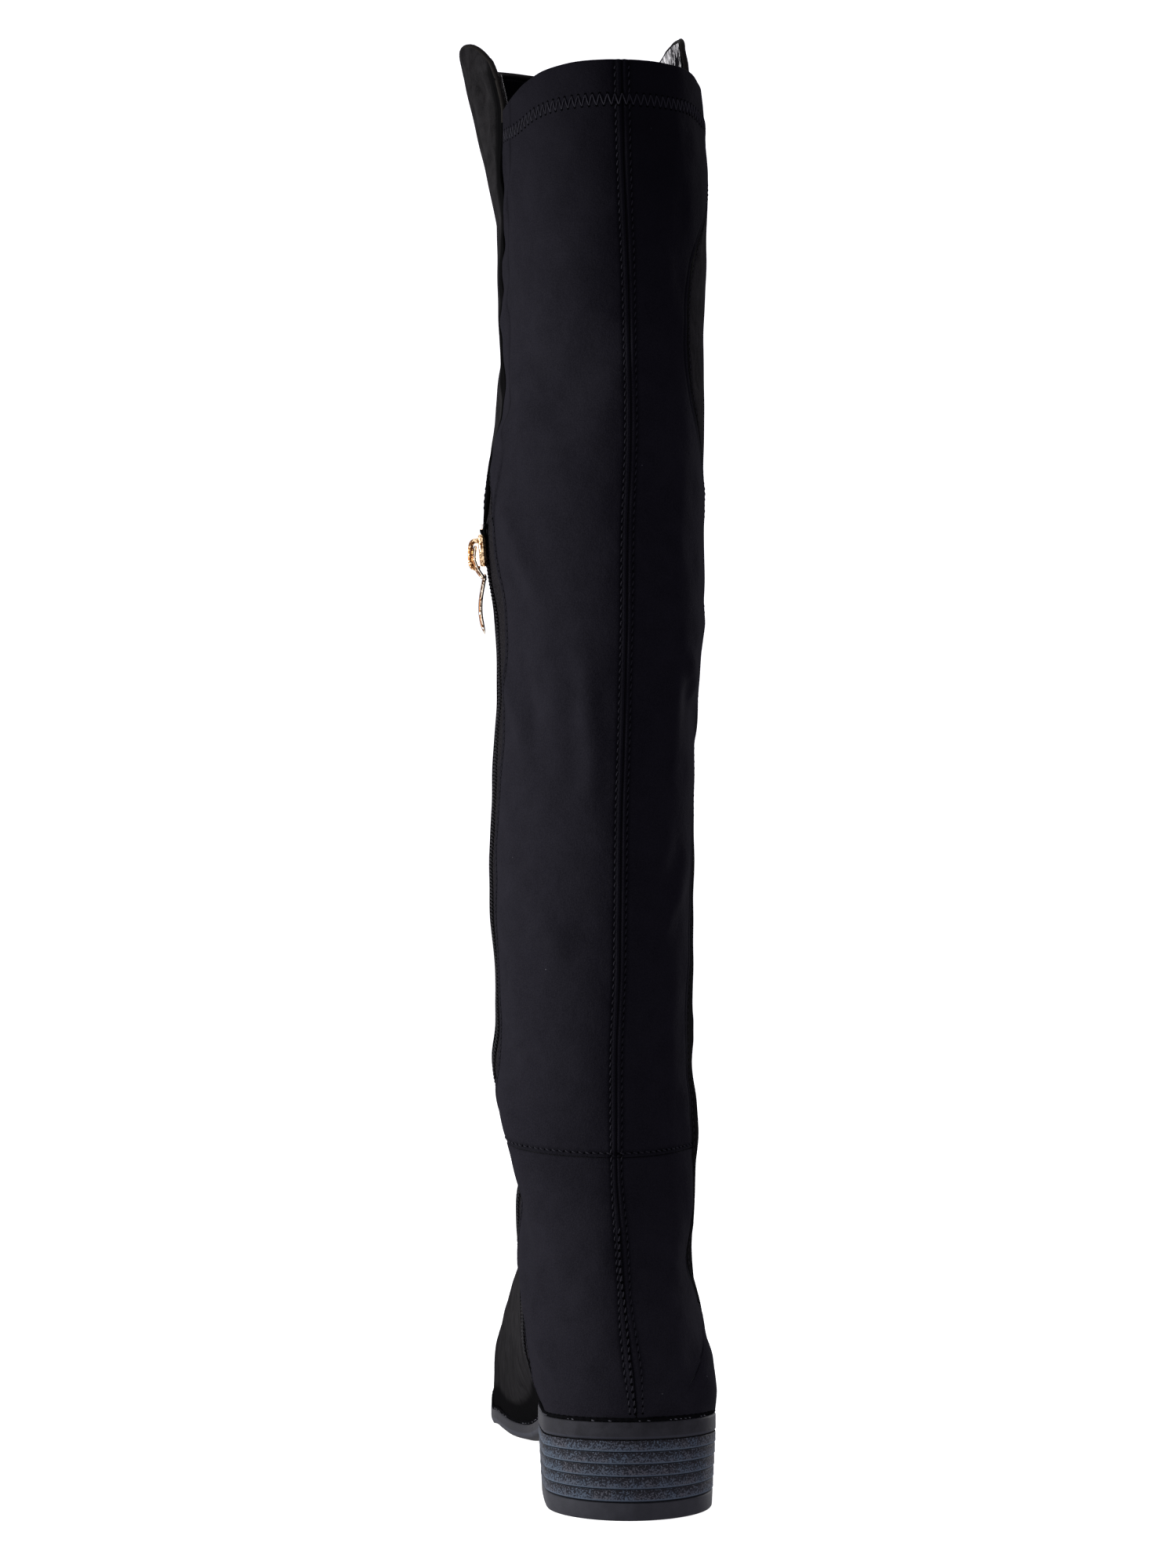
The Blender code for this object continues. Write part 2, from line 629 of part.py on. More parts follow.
def make_pull_loop(axis):
    """The pull's closed wire loop, a long rounded frame that hangs from the axis."""
    curve = bpy.data.curves.new("pull_loop", 'CURVE')
    curve.dimensions = '3D'
    curve.bevel_depth = PULL_WIRE * MM
    curve.bevel_resolution = 2
    spline = curve.splines.new('POLY')
    count = 24
    spline.points.add(count - 1)
    spline.use_cyclic_u = True
    half_width = PULL_LOOP_WIDTH / 2
    half_length = PULL_LOOP_LENGTH / 2
    for i in range(count):
        angle = TAU * i / count
        across = half_width * math.copysign(abs(math.sin(angle)) ** 0.6, math.sin(angle))
        down = half_length * (1 - math.copysign(abs(math.cos(angle)) ** 0.8, math.cos(angle)))
        spline.points[i].co = (loop_offset(down) * MM, across * MM, -down * MM, 1.0)
    loop = bpy.data.objects.new("pull_loop", curve)
    CUTTERS.objects.link(loop)
    loop.location = place(*axis)
    bpy.context.view_layer.update()
    loop = curve_to_mesh(loop, CUTTERS, bpy.data.materials["pull_gold"])
    loop.hide_render = True
    loop.display_type = 'WIRE'
    return loop


def make_zip_pull(collection, axis):
    """A long waved tab under its loop; the object's origin lies on the pull's axis."""
    mat = material("pull_gold", (0.80, 0.55, 0.22), 0.25, 1.0)
    rings = []
    count = 12
    start = PULL_LOOP_LENGTH - TAB_OVERLAP
    for i in range(count + 1):
        t = i / count
        down = start + (TAB_LENGTH + TAB_OVERLAP) * t
        wave = LOOP_LEAN - TAB_WAVE * math.sin(math.pi * t**1.2)
        swell = 0.72 + 0.28 * math.sin(math.pi * min(1.0, 0.15 + t))
        half_width = TAB_WIDTH / 2 * swell
        half_depth = TAB_THICKNESS / 2 * (1 - 0.35 * ramp(0.8, 1.0, t))
        ring = []
        for k in range(PULL_SIDES):
            angle = TAU * (k + 0.5) / PULL_SIDES
            across = half_width * math.copysign(abs(math.cos(angle)) ** 0.5, math.cos(angle))
            out = half_depth * math.copysign(abs(math.sin(angle)) ** 0.5, math.sin(angle))
            ring.append(Vector(((wave + out) * MM, across * MM, -down * MM)))
        rings.append(ring)
    tab = add_object("zip_pull", loft(rings), collection, mat)
    tab.location = place(*axis)
    union = tab.modifiers.new("loop", 'BOOLEAN')
    union.operation = 'UNION'
    union.object = make_pull_loop(axis)
    return tab


def clear_scene():
    for obj in list(bpy.data.objects):
        bpy.data.objects.remove(obj)


def new_collection(name):
    collection = bpy.data.collections.new(name)
    bpy.context.scene.collection.children.link(collection)
    return collection


clear_scene()
BOOT = new_collection("over_the_knee_boot")
CUTTERS = new_collection("cutters")
make_upper(BOOT)
make_insole(BOOT)
make_outsole(BOOT)
make_heel_block(BOOT)
make_top_lift(BOOT)
INNER = InnerSide()
make_zip_chain(BOOT, INNER)
make_zip_slider(BOOT, INNER)
make_zip_top_stop(BOOT, INNER)
make_zip_pull(BOOT, pull_axis(INNER))
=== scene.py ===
"""Looks of the over-the-knee boot for the right foot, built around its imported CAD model.

Axes are the model's: +X to the outer side of the foot, +Y to the toe, +Z up, with the origin at the
centre of the heel's face on the floor. Sizes and tables are in millimetres, with y counted from the
back of the heel; place() turns them into metres about the origin. The sections, the outline and the
functions that read them are those of the CAD source, apart from refinements of a few millimetres, so
that every piece lies where its solid is.

A place on the upper is a step and an around. The step counts the sections of the table below. The
around is the share of the inner half section from the rear line (0) to the front line (1), and past 1
it comes back along the outer half, to 2 at the rear line. Small negative values are the outer half too.
"""

import json
import math

import bmesh
import bpy
import numpy as np
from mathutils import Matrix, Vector


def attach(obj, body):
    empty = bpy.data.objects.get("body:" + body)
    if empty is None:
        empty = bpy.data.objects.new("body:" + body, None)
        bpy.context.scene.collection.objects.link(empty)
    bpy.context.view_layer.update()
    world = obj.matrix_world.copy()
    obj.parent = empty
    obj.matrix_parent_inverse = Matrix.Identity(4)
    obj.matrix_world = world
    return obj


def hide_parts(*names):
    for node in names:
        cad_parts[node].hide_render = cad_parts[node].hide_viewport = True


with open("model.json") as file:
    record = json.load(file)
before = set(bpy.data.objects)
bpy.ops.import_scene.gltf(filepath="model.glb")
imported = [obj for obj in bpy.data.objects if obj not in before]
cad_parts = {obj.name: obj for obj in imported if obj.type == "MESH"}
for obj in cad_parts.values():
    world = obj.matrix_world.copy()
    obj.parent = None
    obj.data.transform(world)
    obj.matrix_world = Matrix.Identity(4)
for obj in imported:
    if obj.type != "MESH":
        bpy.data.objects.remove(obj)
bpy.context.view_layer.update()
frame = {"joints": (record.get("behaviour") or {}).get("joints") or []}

MM = 0.001
TAU = 2 * math.pi
WELD = 0.02 * MM
SEED = 11

# ---- sizes shared with the CAD source

SOLE_LENGTH = 264.0
SEAT_BACK_HEIGHT = 31.0
SEAT_FRONT_HEIGHT = 27.0
HEEL_LENGTH = 60.0
TREAD_BACK = 166.0
TREAD_FRONT = 208.0
TOE_SPRING = 9.0
BALL_LIFT = 2.6               # of the tread behind the ball; the CAD source has none
SOLE_THICKNESS = 6.9
SOLE_MARGIN = 1.2
EDGE_LIFT = 2.0
INSOLE_THICKNESS = 3.0
WALL = 2.0
GAP = 0.3
LIFT_HEIGHT = 7.2
HEEL_LAYERS = 5
HEEL_TAPER = 1.5               # the CAD source has 2.2
BREAST_HOLLOW = 4.0
HEEL_ROUND = 30.0
TOE_ROUND = 40.0
TOE_POWER = 2.2
HEEL_CENTRE_Y = 30.5
HEEL_CENTRE_X = 1.0
HEEL_STEP = 13
LAST_STEP = 32
FLARE = 14.5
FLARE_START = 500.0
FLARE_END = 566.0
CORNER_LEAN = 4.0
CORNER_TILT = 3.4
SEAM_SHARE = 0.40
SIDES = ("inner", "outer")

# ---- sizes of what only shows

SKIN_ROWS = 20               # rows of the skin's grid to a step
SKIN_COLUMNS = 360           # its columns on each half section
PANEL_SPACING = 1.5          # between the points of a panel's mesh
FRONT_SPACING = 1.7
LINING_SPACING = 4.0
FRONT_WIDTH = 215.0          # nominal widths of the front panel, each back panel and the satin facing
BACK_WIDTH = 80.0
FACING_WIDTH = 54.0
EDGE_ROUND = 1.0             # radius of a panel's turned edge
COLLAR_RADIUS = WALL / 2
QUARTER_STEP = 9.62          # where both side seams reach the sole
ZIP_OPENING = 3.3            # from the zip's middle to the front panel
ZIP_BACK = 10.5              # and to the panels behind it, with more of it around the slider
ZIP_BACK_MORE = 6.0
ZIP_WIDEST = 355.0
ZIP_BOTTOM = 56.0
ZIP_TOP = 376.0
TOOTH_PITCH = 1.4
THREAD_RADIUS = 0.27
REAR_STITCHES = (3.0, 2.2, 0.34, THREAD_RADIUS)      # pitch, length, slant and radius of the thread
ANKLE_STITCHES = (2.7, 1.9, 0.34, THREAD_RADIUS)
SIDE_STITCHES = (2.6, 1.9, 0.12, 0.22)
HOLE_RADIUS = 0.62
BINDING_RADIUS = 1.08
PIPING_RADIUS = 0.26
CORD_RADIUS = 0.78
CORD_TWIST = 3.1             # length of one twist of the cord on the feather line
CORD_SPACING = 0.55
LOOSE_THREADS = 0.45         # share of the places along the cord that have a loose thread
ANKLE_STEP = 14.0            # near the ankle seam
HEM_STEP = 27                # the hem lies above this step
COLLAR_STEP = 28.5           # the collar's notches lie above this step
NOTCH_BOTTOM = 536.0
LINING_DROP = 2.5            # from the collar's edge down to the lining, the facing and the back lining
FACING_DROP = 0.6
BACK_LINING_DROP = 11.0
CHANNEL_DEPTH = 0.22         # of a row of stitches in the fabric, and of the step below the hem
PUCKER_HEIGHT = 0.10
PUCKER_LENGTH = 7.3
HEM_DEPTH = 14.0             # from the collar's edge to the middle of its zigzag
ZIGZAG_HEIGHT = 4.4
ZIGZAG_PITCH = 2.9
ANKLE_ROW = 1.5              # from the ankle seam up to its row of stitches
EDGE_ROW = 2.0               # from a side panel's edge to its row of stitches

# The centre-back rows of stitches: height, and the distance of the inner and outer row from the seam
LOW_ROWS = np.array(((39, 2.2, 2.4), (57, 3.4, 3.2), (72, 2.8, 3.0), (87, 2.0, 2.1), (109, 2.2, 2.4),
                     (133, 1.8, 1.9), (150, 2.2, 2.2), (450, 2.2, 2.2), (535, 2.6, 2.6))).T


class Table:
    """Smooth curves through the rows of a table; its first column is the station."""

    def __init__(self, columns, rows):
        self.columns = columns.split()
        self.rows = np.array(rows.split(), float).reshape(-1, len(self.columns))

    def at(self, name, station):
        stations = self.rows[:, 0]
        values = self.rows[:, self.columns.index(name)]
        slopes = np.gradient(values, stations)
        i = np.clip(np.searchsorted(stations, station) - 1, 0, len(stations) - 2)
        span = stations[i + 1] - stations[i]
        t = np.clip((station - stations[i]) / span, 0.0, 1.0)
        return (values[i] * (2 * t**3 - 3 * t**2 + 1) + values[i + 1] * (3 * t**2 - 2 * t**3)
                + span * slopes[i] * (t**3 - 2 * t**2 + t) + span * slopes[i + 1] * (t**3 - t**2))


OUTLINE = Table("y inner outer axis", """
    0 -31.2 33.2 1
    40 -31.2 33.2 1
    70 -29.0 32.0 1
    105 -24.0 33.5 0
    135 -26.4 41.0 0
    165 -32.6 46.8 0
    195 -35.6 44.5 -1
    225 -33.4 36.5 -3
    264 -29.0 24.0 -3
""")

SECTIONS = Table("step rear_x rear_y rear_z front_x front_y front_z inner outer belly crown", """
    0 -3 264 16 -3 264 28 -30 24 .30 2.3
    1 -3 261 16 -3 260 35 -30 25 .30 2.3
    2 -3 253 15 -3 251 41 -30.6 27 .30 2.4
    3 -2 240 12 -3 238 46 -32.0 32 .30 2.4
    4 -1 220 9 -2 219 53 -34.0 39 .30 2.5
    5 1 196 7 -1 198 63 -35.8 45 .28 2.6
    6 3 170 7 0 177 75 -35.8 47.6 .28 2.7
    7 3 142 8 0 158 88 -35.0 44 .28 2.8
    8 2 112 14 -1 141 100 -34.6 38.5 .28 2.6
    9 1 80 26 -2 128 112 -35.2 35.2 .28 2.3
    10 0 50 35 -3 119 122 -36 33.8 .29 2.1
    11 0 24 37 -4 114 133 -36.8 32.8 .30 2.0
    12 0 6 38 -4.5 111 142 -38 31.0 .32 2.0
    13 0 0 38.3 -5 109.5 149 -39.3 29.0 .33 2.0
    14 -1.5 -3.3 55 -5.5 107.5 158 -39.3 26.6 .36 2.0
    15 -4.5 -3.2 78 -6 105.5 169 -38.2 25.8 .39 2.0
    16 -6.0 0.5 104 -6.5 104 183 -43.8 28.0 .41 2.0
    17 -7.0 5.0 128 -8 103.5 198 -48.6 27.4 .43 2.0
    18 -6.8 7.5 152 -9 104 214 -46.8 27.4 .44 2.0
    19 -6.8 7.0 178 -9 105.5 231 -47.5 27.2 .44 2.0
    20 -6.0 4.0 206 -9 108 250 -49.1 27.0 .44 2.0
    21 -6.0 1.0 236 -9 111 272 -49.0 26.8 .44 2.0
    22 -5.8 -0.5 268 -9 114 296 -47.6 27.5 .44 2.0
    23 -4.8 -1.0 302 -8.8 117.5 322 -46.2 28.8 .44 2.0
    24 -3.8 -0.5 338 -8.6 121 351 -47.0 31.8 .44 2.0
    25 -3.3 1.0 374 -8.5 124.5 382 -51.4 32.6 .44 2.0
    26 -1.8 3.0 412 -8 128 416 -47.6 32.2 .44 2.1
    27 -2.2 4.0 450 -7 132 451 -45.6 32.6 .44 2.1
    28 -3.2 4.0 484 -6 136 484 -45.6 33.6 .44 2.2
    29 -4.5 2.5 512 -6 139.5 512 -45.8 34.6 .44 2.2
    30 -5.3 1.0 534 -6 142 534 -46.2 34.0 .44 2.2
    31 -5.8 0.0 553 -6 144 553 -46.2 32.4 .44 2.2
    32 -6.0 -1.0 576 -6 146 576 -46.2 30.0 .44 2.2
""")

# Height of the collar's edge along each half of the opening, as a share from the back to the front: of
# the panels behind the side seams, and of the front panel, whose corners stand higher
COLLAR_BACK = Table("share inner outer", """
    0 551 551
    .12 550.5 551
    .20 549 551
    .27 546 549
    .34 542 545.5
    .40 539.5 538.5
""")
COLLAR_FRONT = Table("share inner outer", """
    .40 551 560
    .415 557 567
    .44 563 570.5
    .465 567 571.2
    .49 568 571.6
    .52 566.5 571.9
    .55 564 571.7
    .61 562 571
    .70 564 569
    .80 567 568
    1 568 568
""")

# The side seams between the front panel and the panels behind it: y of each at a height. The zip lies
# in the inner one, and the outer one swings round to the back below the knee.
SIDE_SEAMS = Table("z inner outer", """
    30 61.0 68.0
    50 61.0 65.0
    66 60.9 58.0
    78 60.7 38.0
    90 60.4 21.0
    110 59.8 22.5
    130 58.9 28.5
    150 58.0 30.0
    200 56.8 28.0
    250 56.0 29.0
    300 56.8 34.0
    345 58.6 44.0
    378 60.0 50.0
    400 60.0 36.0
    424 60.0 22.0
    473 60.0 22.0
    500 60.0 36.0
    525 60.0 52.0
    545 60.0 60.0
""")


def place(points):
    """Points of a table's millimetres in metres, about the origin."""
    return (np.asarray(points, dtype=float) - (HEEL_CENTRE_X, HEEL_CENTRE_Y, 0)) * MM


def ramp(start, end, value):
    """0 before start, 1 after end and a smooth rise between them."""
    t = np.clip((value - start) / (end - start), 0.0, 1.0)
    return t * t * (3 - 2 * t)


def window(a, b, c, d, value):
    """A smooth rise from 0 at a to 1 at b, and a fall from 1 at c to 0 at d."""
    return ramp(a, b, value) * (1 - ramp(c, d, value))


def bell(distance, width):
    return np.exp(-((distance / width) ** 2))


def unit(vectors):
    return vectors / np.maximum(np.linalg.norm(vectors, axis=-1, keepdims=True), 1e-9)


def lengths_along(points, axis=0):
    """The length up to each point of a line, or of every line of a grid along one axis."""
    lengths = np.cumsum(np.linalg.norm(np.diff(points, axis=axis), axis=-1), axis=axis)
    return np.insert(lengths, 0, 0.0, axis=axis)


def between(station, stations, line):
    """Points at new stations between a line's points."""
    return np.stack([np.interp(station, stations, line[:, k]) for k in range(3)], axis=-1)


def swollen(wave, power):
    """A sine or cosine raised to a power with its sign kept: under 1 makes a circle squarer."""
    return np.sign(wave) * np.abs(wave) ** power


def bow(count):
    """0 at both ends of a row and 1 at its middle."""
    return np.sin(math.pi * np.linspace(0, 1, count))


def circle(count, start=0.0):
    return TAU * (np.arange(count) + start) / count


# ---- the sole's lines

def tread_height(y):
    """Underside of the sole: the heel seat's plane, the shank, the flat tread and the toe spring."""
    y = np.asarray(y, dtype=float)
    slope = (SEAT_FRONT_HEIGHT - SEAT_BACK_HEIGHT) / HEEL_LENGTH
    span = TREAD_BACK - HEEL_LENGTH
    t = (y - HEEL_LENGTH) / span
    shank = SEAT_FRONT_HEIGHT * (2 * t**3 - 3 * t**2 + 1) + slope * span * (t**3 - 2 * t**2 + t)
    toe = TOE_SPRING * (np.maximum(y - TREAD_FRONT, 0) / (SOLE_LENGTH - TREAD_FRONT)) ** 2
    plain = np.where(y <= HEEL_LENGTH, SEAT_BACK_HEIGHT + slope * y, np.where(y < TREAD_BACK, shank, toe))
    return plain + BALL_LIFT * window(126, 166, 182, 205, y)


def sole_top(y):
    return tread_height(y) + SOLE_THICKNESS


def feather_height(y):
    return sole_top(y) + 2 * GAP


def end_round(y, margin=0.0):
    """Share of the full width that the rounded heel and toe leave at y."""
    heel = np.maximum(0.0, 1 - (y + margin) / (HEEL_ROUND + margin))
    toe = np.maximum(0.0, 1 - (SOLE_LENGTH + margin - y) / (TOE_ROUND + margin))
    heel_share = np.sqrt(np.maximum(0.0, 1 - heel**2))
    return heel_share * np.maximum(0.0, 1 - toe**TOE_POWER) ** (1 / TOE_POWER)


def outline_x(side, y, margin=0.0):
    """x of one side of the feather line moved outwards by margin."""
    axis = OUTLINE.at("axis", y)
    outwards = -margin if side == "inner" else margin
    return axis + (OUTLINE.at(side, y) + outwards - axis) * end_round(y, margin)


def outline_sides(y, z, margin=0.0):
    """Points of both sides of the feather line, moved outwards by margin, at y and z."""
    return [np.stack((outline_x(side, y, margin), y, z), axis=1) for side in SIDES]


def rounded_shares(count, turn=math.pi):
    """Shares from 0 to 1, closer together at the start, and at the end too over half a turn."""
    return (1 - np.cos(turn * np.arange(count + 1) / count)) / (1 - math.cos(turn))


# ---- the upper's surface

def toe_round(y):
    toe = max(0.0, 1 - (SOLE_LENGTH - y) / TOE_ROUND)
    return max(0.0, 1 - toe**TOE_POWER) ** (1 / TOE_POWER)


def half_section(step, side, samples=120):
    """Points of one half of a section, from its rear to its front, with the length up to each."""
    rear = np.array([SECTIONS.at("rear_" + axis, step) for axis in "xyz"])
    front = np.array([SECTIONS.at("front_" + axis, step) for axis in "xyz"])
    belly = SECTIONS.at("belly", step)
    crown = SECTIONS.at("crown", step)
    rear_width = 0.0
    if step <= HEEL_STEP:
        rear[2] = feather_height(rear[1])
    if step < HEEL_STEP:
        rear_width = abs(outline_x(side, rear[1]) - rear[0])
    belly_x = rear[0] + (front[0] - rear[0]) * belly
    width = abs(SECTIONS.at(side, step) - belly_x) * toe_round(rear[1])
    turn = np.linspace(0, math.pi / 2, samples + 1)
    grown = 1 - np.cos(turn)
    risen = np.sin(turn[1:])
    near = np.sqrt(rear_width**2 + (width**2 - rear_width**2) * (2 * grown - grown**2))
    far = width * np.maximum(0.0, 1 - risen**crown) ** (1 / crown)
    along = np.concatenate((belly * grown, belly + (1 - belly) * risen))
    points = rear + np.outer(along, front - rear)
    points[:, 0] += np.concatenate((near, far)) * (-1 if side == "inner" else 1)
    return points, lengths_along(points)


def ankle_edge(side, share):
    """Height of the ankle seam, which dips towards the centre back."""
    return 137.4 + (3.0 if side == "inner" else 1.4) * np.minimum(share / SEAM_SHARE, 1) ** 1.6


def collar_edge(side, share):
    return np.where(share > SEAM_SHARE, COLLAR_FRONT.at(side, share), COLLAR_BACK.at(side, share))


def collar_shift(side, share, z):
    """Sideways move of the collar's corners: the inner one flares out, the outer one leans in."""
    if side == "inner":
        flare = np.clip((z - FLARE_START) / (FLARE_END - FLARE_START), 0, 1)
        tilt = CORNER_TILT * window(.34, .40, .40, .52, share) * ramp(540, 558, z)
        return -FLARE * window(.40, .52, .62, .95, share) * flare - tilt
    return -CORNER_LEAN * window(.3, .42, .55, .8, share) * ramp(516, 549, z)


def grid_normals(points, side):
    """Unit normals of one side's grid of points."""
    outwards = 1 if side == "inner" else -1
    return unit(np.cross(np.gradient(points, axis=0), np.gradient(points, axis=1))) * outwards


# The main creases by the view that they are placed in: how high each stands (less than 0 for a trough),
# how wide it is, and the points of its line. They are x and z in turn in the back and front views, and
# y and z in the inner and outer ones. Those of the back lie above the knee, behind it, on the calf and
# over the heel, from the top down.
CREASES = {
    "back": """
    -2.3 11 -10 456 -20 436 -34 412; 1.4 12 -41 476 -34 462 -27 452;
    0.8 10 -38 404 -30 396 -22 398; -0.8 9 -16 505 -26 490 -33 470;
    -0.9 12 14 512 19 486 21 455; -1.3 8 -47 442 -46 432 -46 423;
    0.7 8 -50 412 -50 404 -49 394; 0.6 16 32 545 32 500 31.5 445;
    0.9 3.2 -47.5 489 -44.5 501 -41.5 520; -0.8 3.2 -47 500 -45.5 512 -44.5 522;
    0.9 3.2 -47.5 454 -45 461 -41.5 471; -0.7 3.2 -47 462 -45.5 468 -43 478;
    1.0 3.4 -48.5 410 -46 415 -41 423; -0.8 3.4 -48 419 -45.5 424 -41 434;
    1.7 16 -29 545 -28 505 -25 470 -22 436; -0.8 10 -40 448 -33 438 -25 421;
    0.9 12 33 402 33 390 33 378;
    -1.3 7 12 400 9.5 371 8 348; 0.8 6 18 398 16 376 14 352;
    0.9 9 -43 374 -37 350 -31 318 -27 288; 0.9 6 31.5 348 31.5 341 31.5 334;
    1.0 9 28 308 28 299 28 290; 1.0 4.4 -48.5 390 -46 379 -42 366 -34 350;
    -0.9 5 -46 366 -42 354 -36 340; 1.0 4.8 -47 335 -45 318 -41.6 300 -40 284;
    -0.9 5 -41 330 -38.5 312 -36 296; 0.9 4.6 -21 332 -19 316 -17.8 294 -17.2 268;
    -0.7 6 -25 316 -23 296 -22.5 272; -1.2 8 12 344 9 323 7 305;
    0.8 6 17.6 330 15.6 304 15 288; 0.9 5 21.5 331 23.5 323 26 314;
    -0.9 6 20 318 23 309 27 303;
    0.8 16 25 310 26 245 26 172; 0.9 9 29 192 29 182 29 172;
    1.0 5.4 23.5 250 17.6 237 12 226 8 217; -1.0 6 20 255 14 243 8 234;
    0.7 5 -36 232 -31 223 -25 211; -0.4 9 -28 248 -22 228 -19 200;
    -1.1 9 10 190 6 175 3 160; 0.6 8 17 205 15 186 13 168;
    1.6 11 25 168 27 150 26 134;
    2.2 14 -11 132 -10 105 -9 78; -1.2 4 31 41 32 41 33 42;
    1.0 9 25 120 25 112 25 104; 0.9 7 -38 88 -30 98 -17 103;
    -0.7 7 -35 104 -25 113 -12 118; 0.7 8 4 74 10 82 16 89;
    -0.5 7 24 116 21 104 22 92; 2.2 12 30 38 31 52 30 66""",
    "inner": """
    -1.2 7 56 502 56 492 56 482; -1.6 8 69 436 69 425 69 414;
    1.0 2.2 69 560 68 538 66 508; -0.7 3.0 77 562 74 538 71 506;
    -1.4 8 100 470 88 452 70 440; 1.0 7 104 430 90 414 72 404;
    -1.5 8 108 392 92 376 70 366; -1.0 9 100 300 88 280 70 268;
    0.9 8 98 262 86 244 70 232; -1.6 5 98 178 84 166 68 160;
    1.1 5 100 168 86 153 68 146; -1.3 5 104 158 92 142 74 132;
    -1.3 18 146 48 176 40 206 30""",
    "outer": """
    -1.3 8 104 480 86 462 52 452; 0.9 8 108 446 88 428 50 414;
    -1.5 8 110 404 90 384 56 372; -0.9 9 102 316 84 294 46 280;
    0.9 8 98 280 80 256 44 244; -1.6 5 98 182 82 168 54 160;
    1.1 5 100 170 84 154 56 146; -1.3 5 104 160 92 142 66 130""",
    "front": """
    -1.3 6 -30 196 -8 186 16 194; 1.0 6 -28 180 -8 171 16 178;
    -1.5 5.5 -26 168 -6 158 16 166; -1.2 9 -34 402 -10 390 18 404;
    0.9 9 -32 426 -8 418 20 430""",
}
CREASE_STRENGTH = 1.3
UNEVEN_STRENGTH = 0.9
UNEVEN_WAVES = ((6, 0.16, 38.0, 80.0), (8, 0.055, 11.0, 24.0))   # count, height, shortest, longest


